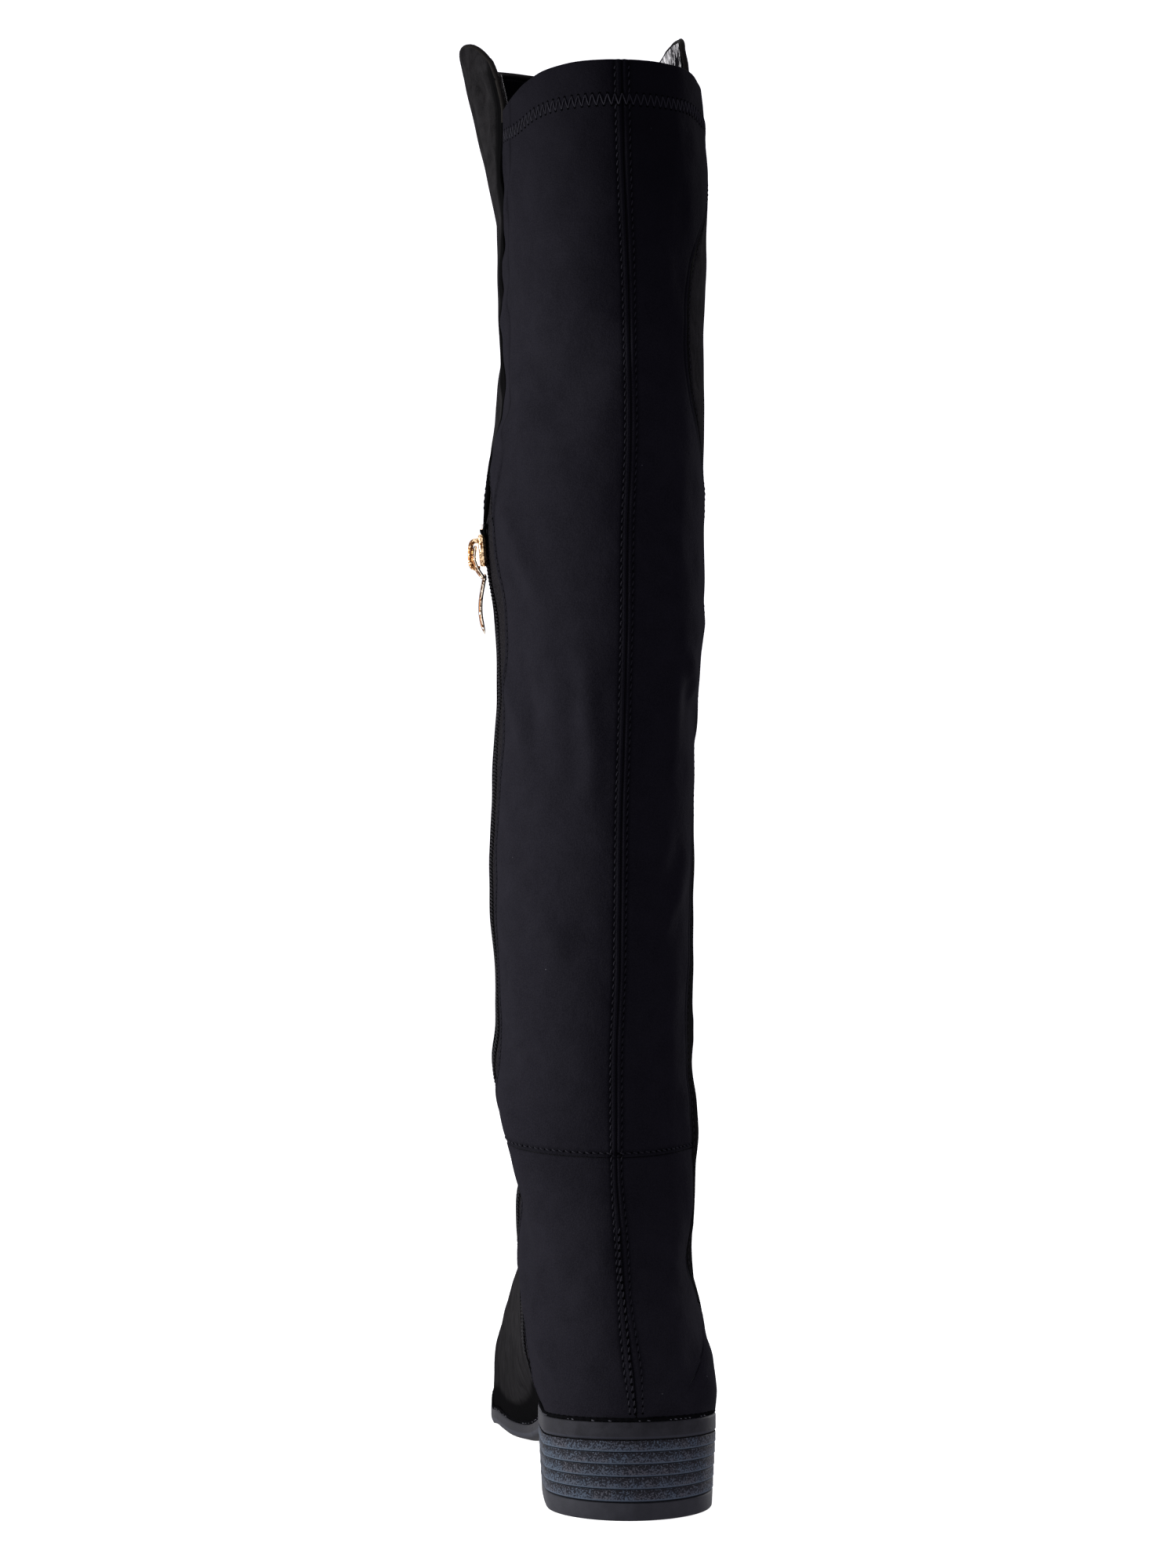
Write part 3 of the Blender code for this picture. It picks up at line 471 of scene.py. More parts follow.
class Skin:
    """The upper's outer face, with its creases, as one fine grid a side over step and share."""

    def __init__(self):
        self.steps = np.linspace(0, LAST_STEP, LAST_STEP * SKIN_ROWS + 1)
        self.shares = np.linspace(0, 1, SKIN_COLUMNS + 1)
        self.points, self.lengths, self.channels = {}, {}, {}
        for side in SIDES:
            self.points[side], self.lengths[side] = self.plain(side)
        self.seams = {side: self.seam_shares(side) for side in SIDES}
        creases = [self.crease(view, *map(float, row.split()))
                   for view, rows in CREASES.items() for row in rows.split(";")]
        for side in SIDES:
            grid = self.points[side]
            relief = crease_relief(grid, creases) + unevenness(grid) + self.seam_relief(side)
            self.points[side] = grid + grid_normals(grid, side) * relief[..., None]
        self.normals = {side: grid_normals(self.points[side], side) for side in SIDES}

    def plain(self, side):
        """The grid before its creases, and the length of each half section."""
        halves = [half_section(step, side) for step in self.steps]
        grid = np.array([between(self.shares, along / along[-1], points) for points, along in halves])
        grid[..., 0] += collar_shift(side, self.shares, grid[..., 2])
        return grid, np.array([along[-1] for _, along in halves])

    def seam_shares(self, side):
        """The share at which each section crosses the side seam."""
        grid = self.points[side]
        past = grid[..., 1] - SIDE_SEAMS.at(side, grid[..., 2])
        shares = np.array([np.interp(0.0, row, self.shares) for row in past])
        collar = ramp(28, 30.5, self.steps)
        return shares * (1 - collar) + SEAM_SHARE * collar

    def seam(self, side, step):
        return np.interp(step, self.steps, self.seams[side])

    def half_length(self, side, step):
        return np.interp(step, self.steps, self.lengths[side])

    def seam_relief(self, side):
        """The raised edges and sunk stitch rows along the seams, and the step below the hem."""
        heights = self.points[side][..., 2]
        across = self.shares * self.lengths[side][:, None]
        ankle_up = ramp(40, 60, heights)
        row = np.interp(heights, LOW_ROWS[0], LOW_ROWS[1 if side == "inner" else 2])
        pucker = PUCKER_HEIGHT * np.sin(heights * TAU / PUCKER_LENGTH + np.sin(heights / 9.0))
        relief = ankle_up * (0.30 * bell(across - 0.5 * row, 0.8) - 0.28 * bell(across - row, 0.55)
                             + pucker * bell(across - row, 1.6))
        seam = (self.shares - self.seams[side][:, None]) * self.lengths[side][:, None]
        edge = np.abs(seam) - np.where(seam < 0, zip_back(heights), ZIP_OPENING) * (side == "inner")
        edge_row = bell(edge - EDGE_ROW, 0.6) * (self.steps[:, None] > QUARTER_STEP)
        ankle_row = bell(heights - (ankle_edge(side, self.shares) + ANKLE_ROW), 0.7) * (seam < 0)
        rear_row = ankle_up * bell(across - row, 0.8)
        # A strip of painted shade beside the seam: narrow above the zip, and wide on the outer calf
        if side == "inner":
            narrow = ramp(470, 495, heights)
            shaded_strip = (1 - ramp(4.5 - 3.7 * narrow, 8 - 6.2 * narrow, edge)) * (seam > 0)
        else:
            low = 1 - ramp(245, 270, heights)
            shaded_strip = (1 - ramp(0.8 + 11 * low, 1.8 + 16 * low, edge)) * (seam > 0)
        # The stitch rows, the ankle row, the rows beside the side seams and this strip are marked as
        # channels, which the fabrics darken as painted shade.
        marks = rear_row + ankle_row + edge_row + shaded_strip
        self.channels[side] = np.repeat(np.clip(marks, 0, 1)[..., None], 3, axis=2)
        relief -= CHANNEL_DEPTH * (edge_row + ankle_row)
        if side == "inner":
            rise = np.where(seam < 0, 0.6, 1.5 - 0.7 * ramp(325, 365, heights))
            rise = rise * window(ZIP_BOTTOM - 10, ZIP_BOTTOM + 10, ZIP_TOP + 10, ZIP_TOP + 30, heights)
            relief += rise * bell(edge - 0.8, 1.5)
        depth = COLLAR_BACK.at(side, self.shares) - heights - HEM_DEPTH
        hem = (1 - ramp(1.6, 3.4, depth)) * (depth > -HEM_DEPTH - 3) * (seam < 0)
        return relief + CHANNEL_DEPTH * hem

    def crease(self, view, height, width, *numbers):
        """A crease's height, width and line: the nearest grid point to each of its points."""
        grids = np.stack([self.points[side] for side in ((view,) if view in SIDES else SIDES)])
        across = grids[..., 1 if view in SIDES else 0]
        hidden = {"back": self.shares > 0.5, "front": self.shares < 0.5}.get(view, 0) * 1e6
        line = []
        for a, b in zip(numbers[::2], numbers[1::2]):
            miss = (across - a) ** 2 + (grids[..., 2] - b) ** 2 + hidden
            line.append(grids[np.unravel_index(np.argmin(miss), miss.shape)])
        return height, width, np.array(line)

    def sample(self, grids, step, around):
        """Values of a pair of grids between their points."""
        step, around = np.broadcast_arrays(np.asarray(step, float), np.asarray(around, float) % 2.0)
        row = np.clip(step / LAST_STEP, 0, 1) * (len(self.steps) - 1)
        i = np.minimum(row.astype(int), len(self.steps) - 2)
        outer = around > 1
        column = np.where(outer, 2 - around, around) * SKIN_COLUMNS
        j = np.minimum(column.astype(int), SKIN_COLUMNS - 1)
        u = (row - i)[..., None]
        v = (column - j)[..., None]
        result = np.empty((*step.shape, 3))
        for side, mask in (("inner", ~outer), ("outer", outer)):
            g = grids[side]
            a, b, s, t = i[mask], j[mask], u[mask], v[mask]
            result[mask] = ((g[a, b] * (1 - s) + g[a + 1, b] * s) * (1 - t)
                            + (g[a, b + 1] * (1 - s) + g[a + 1, b + 1] * s) * t)
        return result

    def at(self, step, around, lift=0.0):
        """Points of the skin moved outwards by lift."""
        lift = np.asarray(lift)[..., None]
        return self.sample(self.points, step, around) + self.normal(step, around) * lift

    def normal(self, step, around):
        return unit(self.sample(self.normals, step, around))

    def step_at(self, around, height, low=HEEL_STEP):
        """The step at which the skin reaches a height, for each around."""
        steps = self.steps[self.steps >= low]
        around = np.atleast_1d(around)
        zs = self.sample(self.points, steps[:, None], around[None, :])[..., 2]
        height = np.broadcast_to(height, around.shape)
        return np.array([np.interp(h, z, steps) for h, z in zip(height, zs.T)])

    def line_steps(self, around, height, low=QUARTER_STEP):
        """The steps at which a line, given by its around at each step, reaches heights."""
        steps = self.steps[self.steps >= low]
        return np.interp(height, self.sample(self.points, steps, around(steps))[..., 2], steps)


def zip_back(z):
    """From the zip's middle to the panels behind it."""
    return ZIP_BACK + ZIP_BACK_MORE * bell(z - ZIP_WIDEST, 50)


def crease_relief(grid, creases):
    """Height of the creases at each point of a grid: each line's own height, faded to both ends."""
    total = np.zeros(grid.shape[:2])
    for height, width, line in creases:
        reach = 2.6 * width
        near = np.all((grid > line.min(0) - reach) & (grid < line.max(0) + reach), axis=2)
        points = grid[near]
        strongest = np.zeros(len(points))
        pieces = len(line) - 1
        for k in range(pieces):
            start, along = line[k], line[k + 1] - line[k]
            t = np.clip((points - start) @ along / (along @ along), 0, 1)
            distance = np.linalg.norm(points - start - t[:, None] * along, axis=1)
            fade = window(-0.12, 0.35, 0.65, 1.12, (k + t) / pieces)
            strongest = np.maximum(strongest, fade * bell(distance, width))
        total[near] += CREASE_STRENGTH * height * strongest
    return total


def unevenness(grid):
    """Shallow waves in all directions, as in soft fabric."""
    rng = np.random.default_rng(SEED)
    total = np.zeros(grid.shape[:2])
    for count, height, shortest, longest in UNEVEN_WAVES:
        for _ in range(count):
            direction = unit(rng.normal(size=3))
            wave = TAU / rng.uniform(shortest, longest)
            total += height * np.sin(grid @ direction * wave + rng.uniform(0, TAU))
    return total * UNEVEN_STRENGTH


skin = Skin()


# ---- helpers for meshes

def new_object(name, data):
    obj = bpy.data.objects.new(name, data)
    bpy.context.scene.collection.objects.link(obj)
    return obj


def add_mesh(name, points, faces, material):
    """A mesh object from points in table millimetres and lists of faces."""
    mesh = bpy.data.meshes.new(name)
    points = place(points).reshape(-1, 3).tolist()
    mesh.from_pydata(points, [], [tuple(face) for face in faces])
    mesh.validate()
    mesh.shade_smooth()
    mesh.materials.append(material)
    return new_object(name, mesh)


def add_values(obj, name, values):
    """A number at each point of a mesh, for its material to read."""
    attribute = obj.data.attributes.new(name, 'FLOAT', 'POINT')
    attribute.data.foreach_set("value", np.asarray(values, float).ravel().tolist())


def edited(obj, edit):
    """The object, after an edit of its mesh."""
    bm = bmesh.new()
    bm.from_mesh(obj.data)
    edit(bm)
    bm.to_mesh(obj.data)
    bm.free()
    return obj


def weld(obj):
    """Merges the doubled points of a mesh."""
    def merge(bm):
        bmesh.ops.remove_doubles(bm, verts=bm.verts, dist=WELD)
        bmesh.ops.dissolve_degenerate(bm, edges=bm.edges, dist=WELD)

    return edited(obj, merge)


def finish_piece(obj, slot="upper_black", node="upper", body="boot"):
    """Ties a piece to its body and hides the CAD node that it stands for. The slot argument is not used."""
    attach(obj, body)
    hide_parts(node)


def closed_piece(name, shape, material, *ties, values=None, welded=False):
    """A finished piece from the points and faces of closed parts, with its faces turned outwards."""
    obj = add_mesh(name, *shape, material)
    if values:
        add_values(obj, *values)
    if welded:
        weld(obj)
    edited(obj, lambda bm: bmesh.ops.recalc_face_normals(bm, faces=bm.faces))
    finish_piece(obj, *ties)


def grid_faces(rows, columns, closed=False, flip=False):
    """Quads of a grid of points; closed joins its last column to its first."""
    i = np.arange(rows - 1)[:, None]
    j = np.arange(columns if closed else columns - 1)[None, :]
    k = (j + 1) % columns
    quads = np.stack(np.broadcast_arrays(i * columns + j, i * columns + k, (i + 1) * columns + k,
                                         (i + 1) * columns + j), axis=-1).reshape(-1, 4)
    return quads[:, ::-1] if flip else quads


def joined(parts):
    """The points and faces of several parts as one set."""
    points, faces, count = [], [], 0
    for part_points, part_faces in parts:
        flat = np.asarray(part_points, float).reshape(-1, 3)
        points.append(flat)
        faces += [[int(i) + count for i in face] for face in part_faces]
        count += len(flat)
    return np.concatenate(points), faces


def capped(rings):
    """Points and faces of a closed loft, with an n-gon on its first and its last ring."""
    rings = np.asarray(rings, float)
    rows, count = rings.shape[:2]
    faces = grid_faces(rows, count, closed=True).tolist()
    faces += [list(range(count))[::-1], list(range((rows - 1) * count, rows * count))]
    return rings.reshape(-1, 3), faces


def ring_points(across, up, count):
    """Unit circles, each in the plane of its two vectors."""
    angles = circle(count)[None, :, None]
    return across[:, None] * np.cos(angles) + up[:, None] * np.sin(angles)


def tube(line, radius, guide, sides=10, closed=False):
    """Points and faces of a tube along a line; the guide is a vector never parallel to it."""
    if closed:
        along = unit(np.roll(line, -1, axis=0) - np.roll(line, 1, axis=0))
    else:
        along = unit(np.gradient(line, axis=0))
    across = unit(np.cross(along, guide))
    girth = np.broadcast_to(radius, (len(line),))[:, None, None]
    rings = line[:, None] + girth * ring_points(across, np.cross(across, along), sides)
    if not closed:
        return capped(rings)
    rings = np.concatenate((rings, rings[:1]))
    return rings.reshape(-1, 3), grid_faces(len(rings), sides, closed=True)


def tubes(name, starts, ends, normals, radius, arch, material, rings=6, sides=6, sink=0.1):
    """Many short arched threads in one mesh, each from its start to its end over the surface."""
    along = unit(ends - starts)
    across = unit(np.cross(unit(normals), along))
    up = np.cross(along, across)
    t = np.linspace(0, 1, rings)[None, :, None]
    lift = (arch * bow(rings) - sink)[None, :, None]
    centres = starts[:, None] + (ends - starts)[:, None] * t + up[:, None] * lift
    girth = radius * (0.45 + 0.55 * bow(rings)**0.6)[None, :, None, None]
    points = centres[:, :, None] + ring_points(across, up, sides)[:, None] * girth
    return add_mesh(name, *joined([capped(part) for part in points]), material)


def dots(name, centres, normals, radius, material, sides=7):
    """Many small dark dots that lie on the surface."""
    normals = unit(normals)
    across = unit(np.cross(normals, (0.3, 0.5, 0.9)))
    rim = radius * ring_points(across, np.cross(normals, across), sides) - normals[:, None] * 0.05
    points = centres[:, None] + np.concatenate((normals[:, None] * 0.12, rim), axis=1)
    faces = [(base, base + 1 + s, base + 1 + (s + 1) % sides)
             for base in range(0, len(centres) * (sides + 1), sides + 1) for s in range(sides)]
    return add_mesh(name, points, faces, material)


class Path:
    """A line on the skin, walked by its length."""

    def __init__(self, step, around, lift=0.0):
        self.points = skin.at(step, around, lift)
        self.normals = skin.normal(step, around)
        self.lengths = lengths_along(self.points)
        self.total = self.lengths[-1]

    def at(self, length):
        """The point and the normal at a length."""
        return (between(length, self.lengths, self.points),
                unit(between(length, self.lengths, self.normals)))


# ---- materials

class Finish:
    """A procedural material, built around one Principled shader in the object's own coordinates."""

    def __init__(self, name, color, roughness, metallic=0.0, specular=0.0, sheen=0.0):
        self.material = bpy.data.materials.new(name)
        self.material.use_nodes = True
        self.tree = self.material.node_tree
        self.shader = self.tree.nodes["Principled BSDF"]
        self.color = color
        self.feed({"Base Color": (*color, 1.0), "Roughness": roughness, "Metallic": metallic,
                   "Specular IOR Level": specular, "Sheen Weight": sheen, "Sheen Roughness": 0.35})
        self.coordinates = self.node("TexCoord", "Object", {})
        self.normal = None

    def feed(self, values, node=None):
        """Gives values to a node's inputs: links to another node's output, and constants as they are."""
        for key, value in values.items():
            target = (node or self.shader).inputs[key]
            if isinstance(value, bpy.types.NodeSocket):
                self.tree.links.new(value, target)
            else:
                target.default_value = value

    def node(self, kind, output, values, **settings):
        """An output of a new node."""
        node = self.tree.nodes.new("ShaderNode" + kind)
        for name, setting in settings.items():
            setattr(node, name, setting)
        self.feed(values, node)
        return node.outputs[output]

    def noise(self, size, detail=3.0, distortion=0.0, upright=1):
        """Noise with features of a size in millimetres, from about 0.3 to 0.7, or taller if upright < 1."""
        vector = self.coordinates
        if upright != 1:
            vector = self.node("Mapping", "Vector", {"Vector": vector, "Scale": (1, 1, upright)})
        return self.node("TexNoise", "Fac", {"Vector": vector, "Scale": 1 / (size * MM), "Detail": detail,
                                             "Distortion": distortion})

    def cells(self, size, output):
        return self.node("TexVoronoi", output, {"Vector": self.coordinates, "Scale": 1 / (size * MM)})

    def position(self, axis):
        """The distance from the origin along an axis, in metres."""
        return self.node("SeparateXYZ", axis, {"Vector": self.coordinates})

    def attribute(self, name):
        return self.node("Attribute", "Fac", {}, attribute_name=name)

    def remap(self, value, start, end, low=0.0, high=1.0):
        return self.node("MapRange", "Result", {"Value": value, "From Min": start, "From Max": end,
                                                "To Min": low, "To Max": high})

    def math(self, operation, a, b):
        return self.node("Math", "Value", {0: a, 1: b}, operation=operation)

    def blend(self, factor, a, b):
        """Colour a where the factor is 0 and b where it is 1."""
        a, b = ((*color, 1.0) if isinstance(color, tuple) else color for color in (a, b))
        return self.node("Mix", 2, {0: factor, 6: a, 7: b}, data_type='RGBA')

    def paint(self, color):
        self.painted = color
        self.feed({"Base Color": color})

    def tint(self, factor, low, high):
        """Paints with the material's own colour times low to high over the factor."""
        dark, light = (tuple(c * share for c in self.color) for share in (low, high))
        self.paint(self.blend(factor, dark, light))

    def lay(self, color, mask, share=1.0):
        """Lays a colour over the paint where a mask is 1, up to a share of it."""
        if share < 1:
            mask = self.math("MULTIPLY", mask, share)
        self.paint(self.blend(mask, self.painted, color))

    def bump(self, height, depth):
        """Adds a bump whose height from 0 to 1 is a depth in millimetres."""
        values = {"Height": height, "Strength": 1.0, "Distance": depth * MM}
        if self.normal:
            values["Normal"] = self.normal
        self.normal = self.node("Bump", "Normal", values)
        self.feed({"Normal": self.normal})


def stretch_fabric():
    finish = Finish("stretch_fabric", (0.0085, 0.0081, 0.0105), 0.9, sheen=0.018)
    finish.tint(finish.noise(9.0, 4.0, 0.4), 0.72, 1.30)
    finish.lay((0.0200, 0.0196, 0.0240), finish.remap(finish.noise(0.5, 2.0), 0.35, 0.65), 0.28)
    size, radius = 13.0, 0.32
    speck = finish.remap(finish.cells(size, "Distance"), radius / size, 0.6 * radius / size)
    chosen = finish.remap(finish.cells(size, "Color"), 0.62, 0.64)
    finish.lay((0.055, 0.055, 0.060), finish.math("MULTIPLY", speck, chosen))
    # Painted shade: the colour darkens towards the outer side and the top of the shaft.
    shade_diagonal = finish.math("ADD", finish.position("Z"), finish.math("MULTIPLY", finish.position("X"), 1.2))
    finish.lay((0.0030, 0.0028, 0.0040), finish.remap(shade_diagonal, 0.43, 0.53, 0.0, 0.6))
    # Painted shade along the marked channels: the stitch rows and the strips beside the seams.
    finish.lay((0.0022, 0.0022, 0.0028), finish.attribute("channel"), 0.62)
    finish.bump(finish.noise(0.55, 3.0), 0.12)
    finish.bump(finish.noise(2.6, 3.0), 0.18)
    return finish.material


def suede():
    finish = Finish("suede", (0.0112, 0.0108, 0.0112), 0.95, sheen=0.012)
    nap = finish.noise(6.0, 5.0, 1.4, 0.45)
    finish.tint(finish.remap(nap, 0.34, 0.66), 0.60, 1.35)
    finish.lay((0.0210, 0.0200, 0.0200), finish.remap(finish.noise(0.35, 2.0, 0.0, 0.5), 0.4, 0.7), 0.3)
    # Painted shade: darker towards the floor, from 60 mm down.
    finish.lay((0.0030, 0.0030, 0.0030), finish.remap(finish.position("Z"), 0.06, 0.012, 0.0, 0.45))
    # Painted shade along the marked strips beside the seams and along the stitch rows.
    finish.lay((0.0014, 0.0014, 0.0015), finish.attribute("channel"), 0.9)
    finish.bump(finish.noise(0.45, 3.0), 0.16)
    finish.bump(nap, 0.30)
    return finish.material


def lit_satin_lining():
    """A pale satin whose wrinkles mirror the studio: the lit copy of the lining, on the outer corner where
    the key light falls. Painted shade darkens the troughs of its folds, and near its free edge it has finer
    creases painted dark and dull as shade.
    """
    finish = Finish("lit_satin_facing", (0.62, 0.61, 0.60), 0.22, metallic=1.0)
    folds = finish.noise(3.4, 3.0, 1.0, 0.45)
    fine = finish.remap(finish.noise(3.2, 3.0, 1.2, 0.4), 0.57, 0.52)
    near_edge = finish.remap(finish.attribute("channel"), 0.45, 0.65)
    # Painted shade: dark, dull patches in the fine creases near the free edge.
    painted_crease_shade = finish.math("MULTIPLY", fine, near_edge)
    # Painted shade: the colour darkens in the troughs of the folds that the bump raises.
    finish.tint(finish.remap(folds, 0.42, 0.56), 0.10, 1.2)
    finish.lay((0.030, 0.030, 0.032), painted_crease_shade)
    finish.feed({"Metallic": finish.math("SUBTRACT", 1.0, painted_crease_shade),
                 "Roughness": finish.remap(finish.noise(1.1), 0.35, 0.65, 0.20, 0.40)})
    finish.bump(folds, 1.6)
    finish.bump(finish.noise(0.5), 0.05)
    return finish.material


# Plain finishes: colour, roughness and specular level, size of the soft patches with the darkest and
# lightest of them, size and depth of the grain. Threads differ in colour only.
THREADS = {
    "twisted_thread": (0.0028, 0.0028, 0.0032),
    "seam_thread": (0.0200, 0.0196, 0.0235),
    "hem_thread": (0.0250, 0.0245, 0.0290),
    "welt_thread": (0.070, 0.070, 0.078),
    "edge_thread": (0.0175, 0.0170, 0.0200),
}
PLAIN = {
    "binding_leather": ((0.0080, 0.0070, 0.0062), 0.7, 0.03, 1.8, 0.5, 1.5, 0.6, 0.06),
    "satin_piping": ((0.056, 0.053, 0.050), 0.5, 0.2, 2.2, 0.6, 1.3, 0.5, 0.05),
    "shaded_knit_lining": ((0.0026, 0.0026, 0.0030), 0.95, 0.0, 3.0, 0.7, 1.3, 0.7, 0.15),
    "needle_hole": ((0.0011, 0.0011, 0.0014), 1.0, 0.0, 0.6, 0.5, 1.5, 0.3, 0.02),
    "lift_rubber": ((0.0245, 0.0250, 0.0290), 0.65, 0.04, 3.5, 0.75, 1.3, 0.4, 0.05),
    "sock_leather": ((0.0110, 0.0110, 0.0122), 0.7, 0.1, 4.0, 0.7, 1.3, 0.8, 0.06),
    **{name: (color, 0.8, 0.0, 1.6, 0.6, 1.4, 0.3, 0.05) for name, color in THREADS.items()},
}


def plain(name):
    """A plain finish of the table, made once."""
    if name in bpy.data.materials:
        return bpy.data.materials[name]
    color, roughness, specular, patch, low, high, grain, depth = PLAIN[name]
    finish = Finish(name, color, roughness, specular=specular)
    finish.tint(finish.noise(patch), low, high)
    finish.bump(finish.noise(grain, 2.0), depth)
    return finish.material


def zip_tape_finish():
    finish = Finish("zip_tape_weave", (0.0098, 0.0092, 0.0102), 0.9)
    weave = finish.noise(0.5, 2.0, 0.0, 2.6)
    finish.tint(finish.remap(weave, 0.35, 0.65), 0.3, 1.9)
    finish.bump(weave, 0.12)
    return finish.material


def zip_teeth_finish():
    finish = Finish("zip_nylon", (0.0150, 0.0146, 0.0158), 0.6, specular=0.01)
    finish.feed({"Roughness": finish.remap(finish.noise(1.0), 0.35, 0.65, 0.5, 0.7)})
    finish.tint(finish.noise(1.2), 0.6, 1.5)
    return finish.material


def metal(name, color, roughness, painted_reflection=None, wear=0.35):
    """Plated metal with fine scratches, and, if given a dark colour, patches of painted dark reflection,
    gathered more where the mesh's bias attribute is high.
    """
    finish = Finish(name, color, roughness, metallic=1.0, specular=0.5)
    scratches = finish.noise(0.9, 4.0, 0.5, 0.25)
    finish.feed({"Roughness": finish.remap(scratches, 0.3, 0.7, roughness * (1 - wear),
                                           roughness * (1 + wear))})
    finish.tint(finish.noise(2.5), 0.86, 1.08)
    if painted_reflection:
        # Painted reflection: dark patches stand for dark surroundings mirrored in the metal.
        reflection_bias = finish.math("MULTIPLY", finish.attribute("reflection_bias"), 0.13)
        patches = finish.math("ADD", finish.noise(1.5, 2.0, 1.6), reflection_bias)
        finish.lay(painted_reflection, finish.remap(patches, 0.52, 0.58))
    finish.bump(scratches, 0.02)
    return finish.material


def sole_rubber():
    finish = Finish("sole_rubber", (0.0183, 0.0183, 0.0211), 0.65, specular=0.02)
    cloudy = finish.noise(5.0, 4.0, 0.6)
    finish.tint(finish.remap(cloudy, 0.35, 0.65), 0.80, 1.2)
    finish.lay((0.033, 0.033, 0.037), finish.remap(finish.noise(0.35, 2.0), 0.45, 0.75), 0.22)
    # Painted highlight along the chamfer of the sole's lower edge.
    finish.lay((0.036, 0.039, 0.049), finish.attribute("lip"), 0.5)
    finish.feed({"Roughness": finish.remap(cloudy, 0.3, 0.7, 0.52, 0.68)})
    finish.bump(finish.noise(0.35, 2.0), 0.05)
    return finish.material


def stacked_heel():
    """Layers painted dark and brownish at the top as shade under the layer above, and lighter, speckled
    steel blue towards their lower lip, with a painted highlight along the lip and painted shade in the
    groove below it.
    """
    finish = Finish("stacked_heel", (0.0132, 0.0128, 0.0148), 0.7, specular=0.03)
    height = finish.attribute("layer")
    low = finish.remap(height, 0.92, 0.30)
    speck = finish.math("ADD", finish.noise(0.6, 2.5, 0.2), finish.remap(low, 0.0, 1.0, -0.08, 0.03))
    patch = finish.remap(finish.noise(7.0, 3.0), 0.38, 0.62)
    light = finish.blend(patch, (0.060, 0.062, 0.072), (0.053, 0.069, 0.091))
    # Painted shade at the top of each layer, painted light towards its lower lip.
    finish.paint(finish.blend(low, (0.0100, 0.0098, 0.0118), (0.0152, 0.0165, 0.0218)))
    finish.lay(light, finish.remap(speck, 0.46, 0.56))
    # Painted highlight along each layer's lower lip.
    finish.lay((0.062, 0.080, 0.103), finish.remap(height, 0.25, 0.17), 0.8)
    # Painted shade in the groove at the foot of each layer.
    finish.lay((0.0052, 0.0064, 0.0092), finish.remap(height, 0.12, 0.08))
    finish.bump(speck, 0.2)
    return finish.material


# ---- panels

TURNED = (0, 0.12, 0.35, 0.65, 1.0, 1.7)                                # mm from a turned edge
SEWN = (*TURNED[:5], 1.4, 1.8, 2.2, 2.6, 3.0, 3.5, 4.1, 4.9, 5.8)        # beside the centre-back seam
NOTCHED = (*TURNED, 2.4, 3.1, 3.8, 4.5, 5.2, 5.9, 6.7, 7.6, 8.6, 9.8)   # beside the collar's notch


def by_half(edge):
    """A function of the around from one of the side and the share."""
    def height(around):
        around = around % 2.0
        return np.where(around > 1, edge("outer", 2 - around), edge("inner", around))

    return height


ankle = by_half(ankle_edge)
collar_height = by_half(collar_edge)


def lowered_collar(drop):
    return lambda around: collar_height(around) - drop


def edge_drop(distance):
    """How far a turned edge has fallen at a distance from its end."""
    left = 1 - np.clip(distance / EDGE_ROUND, 0, 1)
    return EDGE_ROUND * (1 - np.sqrt(1 - left**2))


def packed(length, spacing, first_edge, last_edge):
    """Stations from 0 to length, with the given ones at each end and an even spacing between them."""
    start, end = first_edge[-1], length - last_edge[-1]
    count = max(2, math.ceil((end - start) / spacing))
    middle = np.linspace(start, end, count + 1)
    return np.concatenate((first_edge[:-1], middle, (length - np.array(last_edge[:-1]))[::-1]))


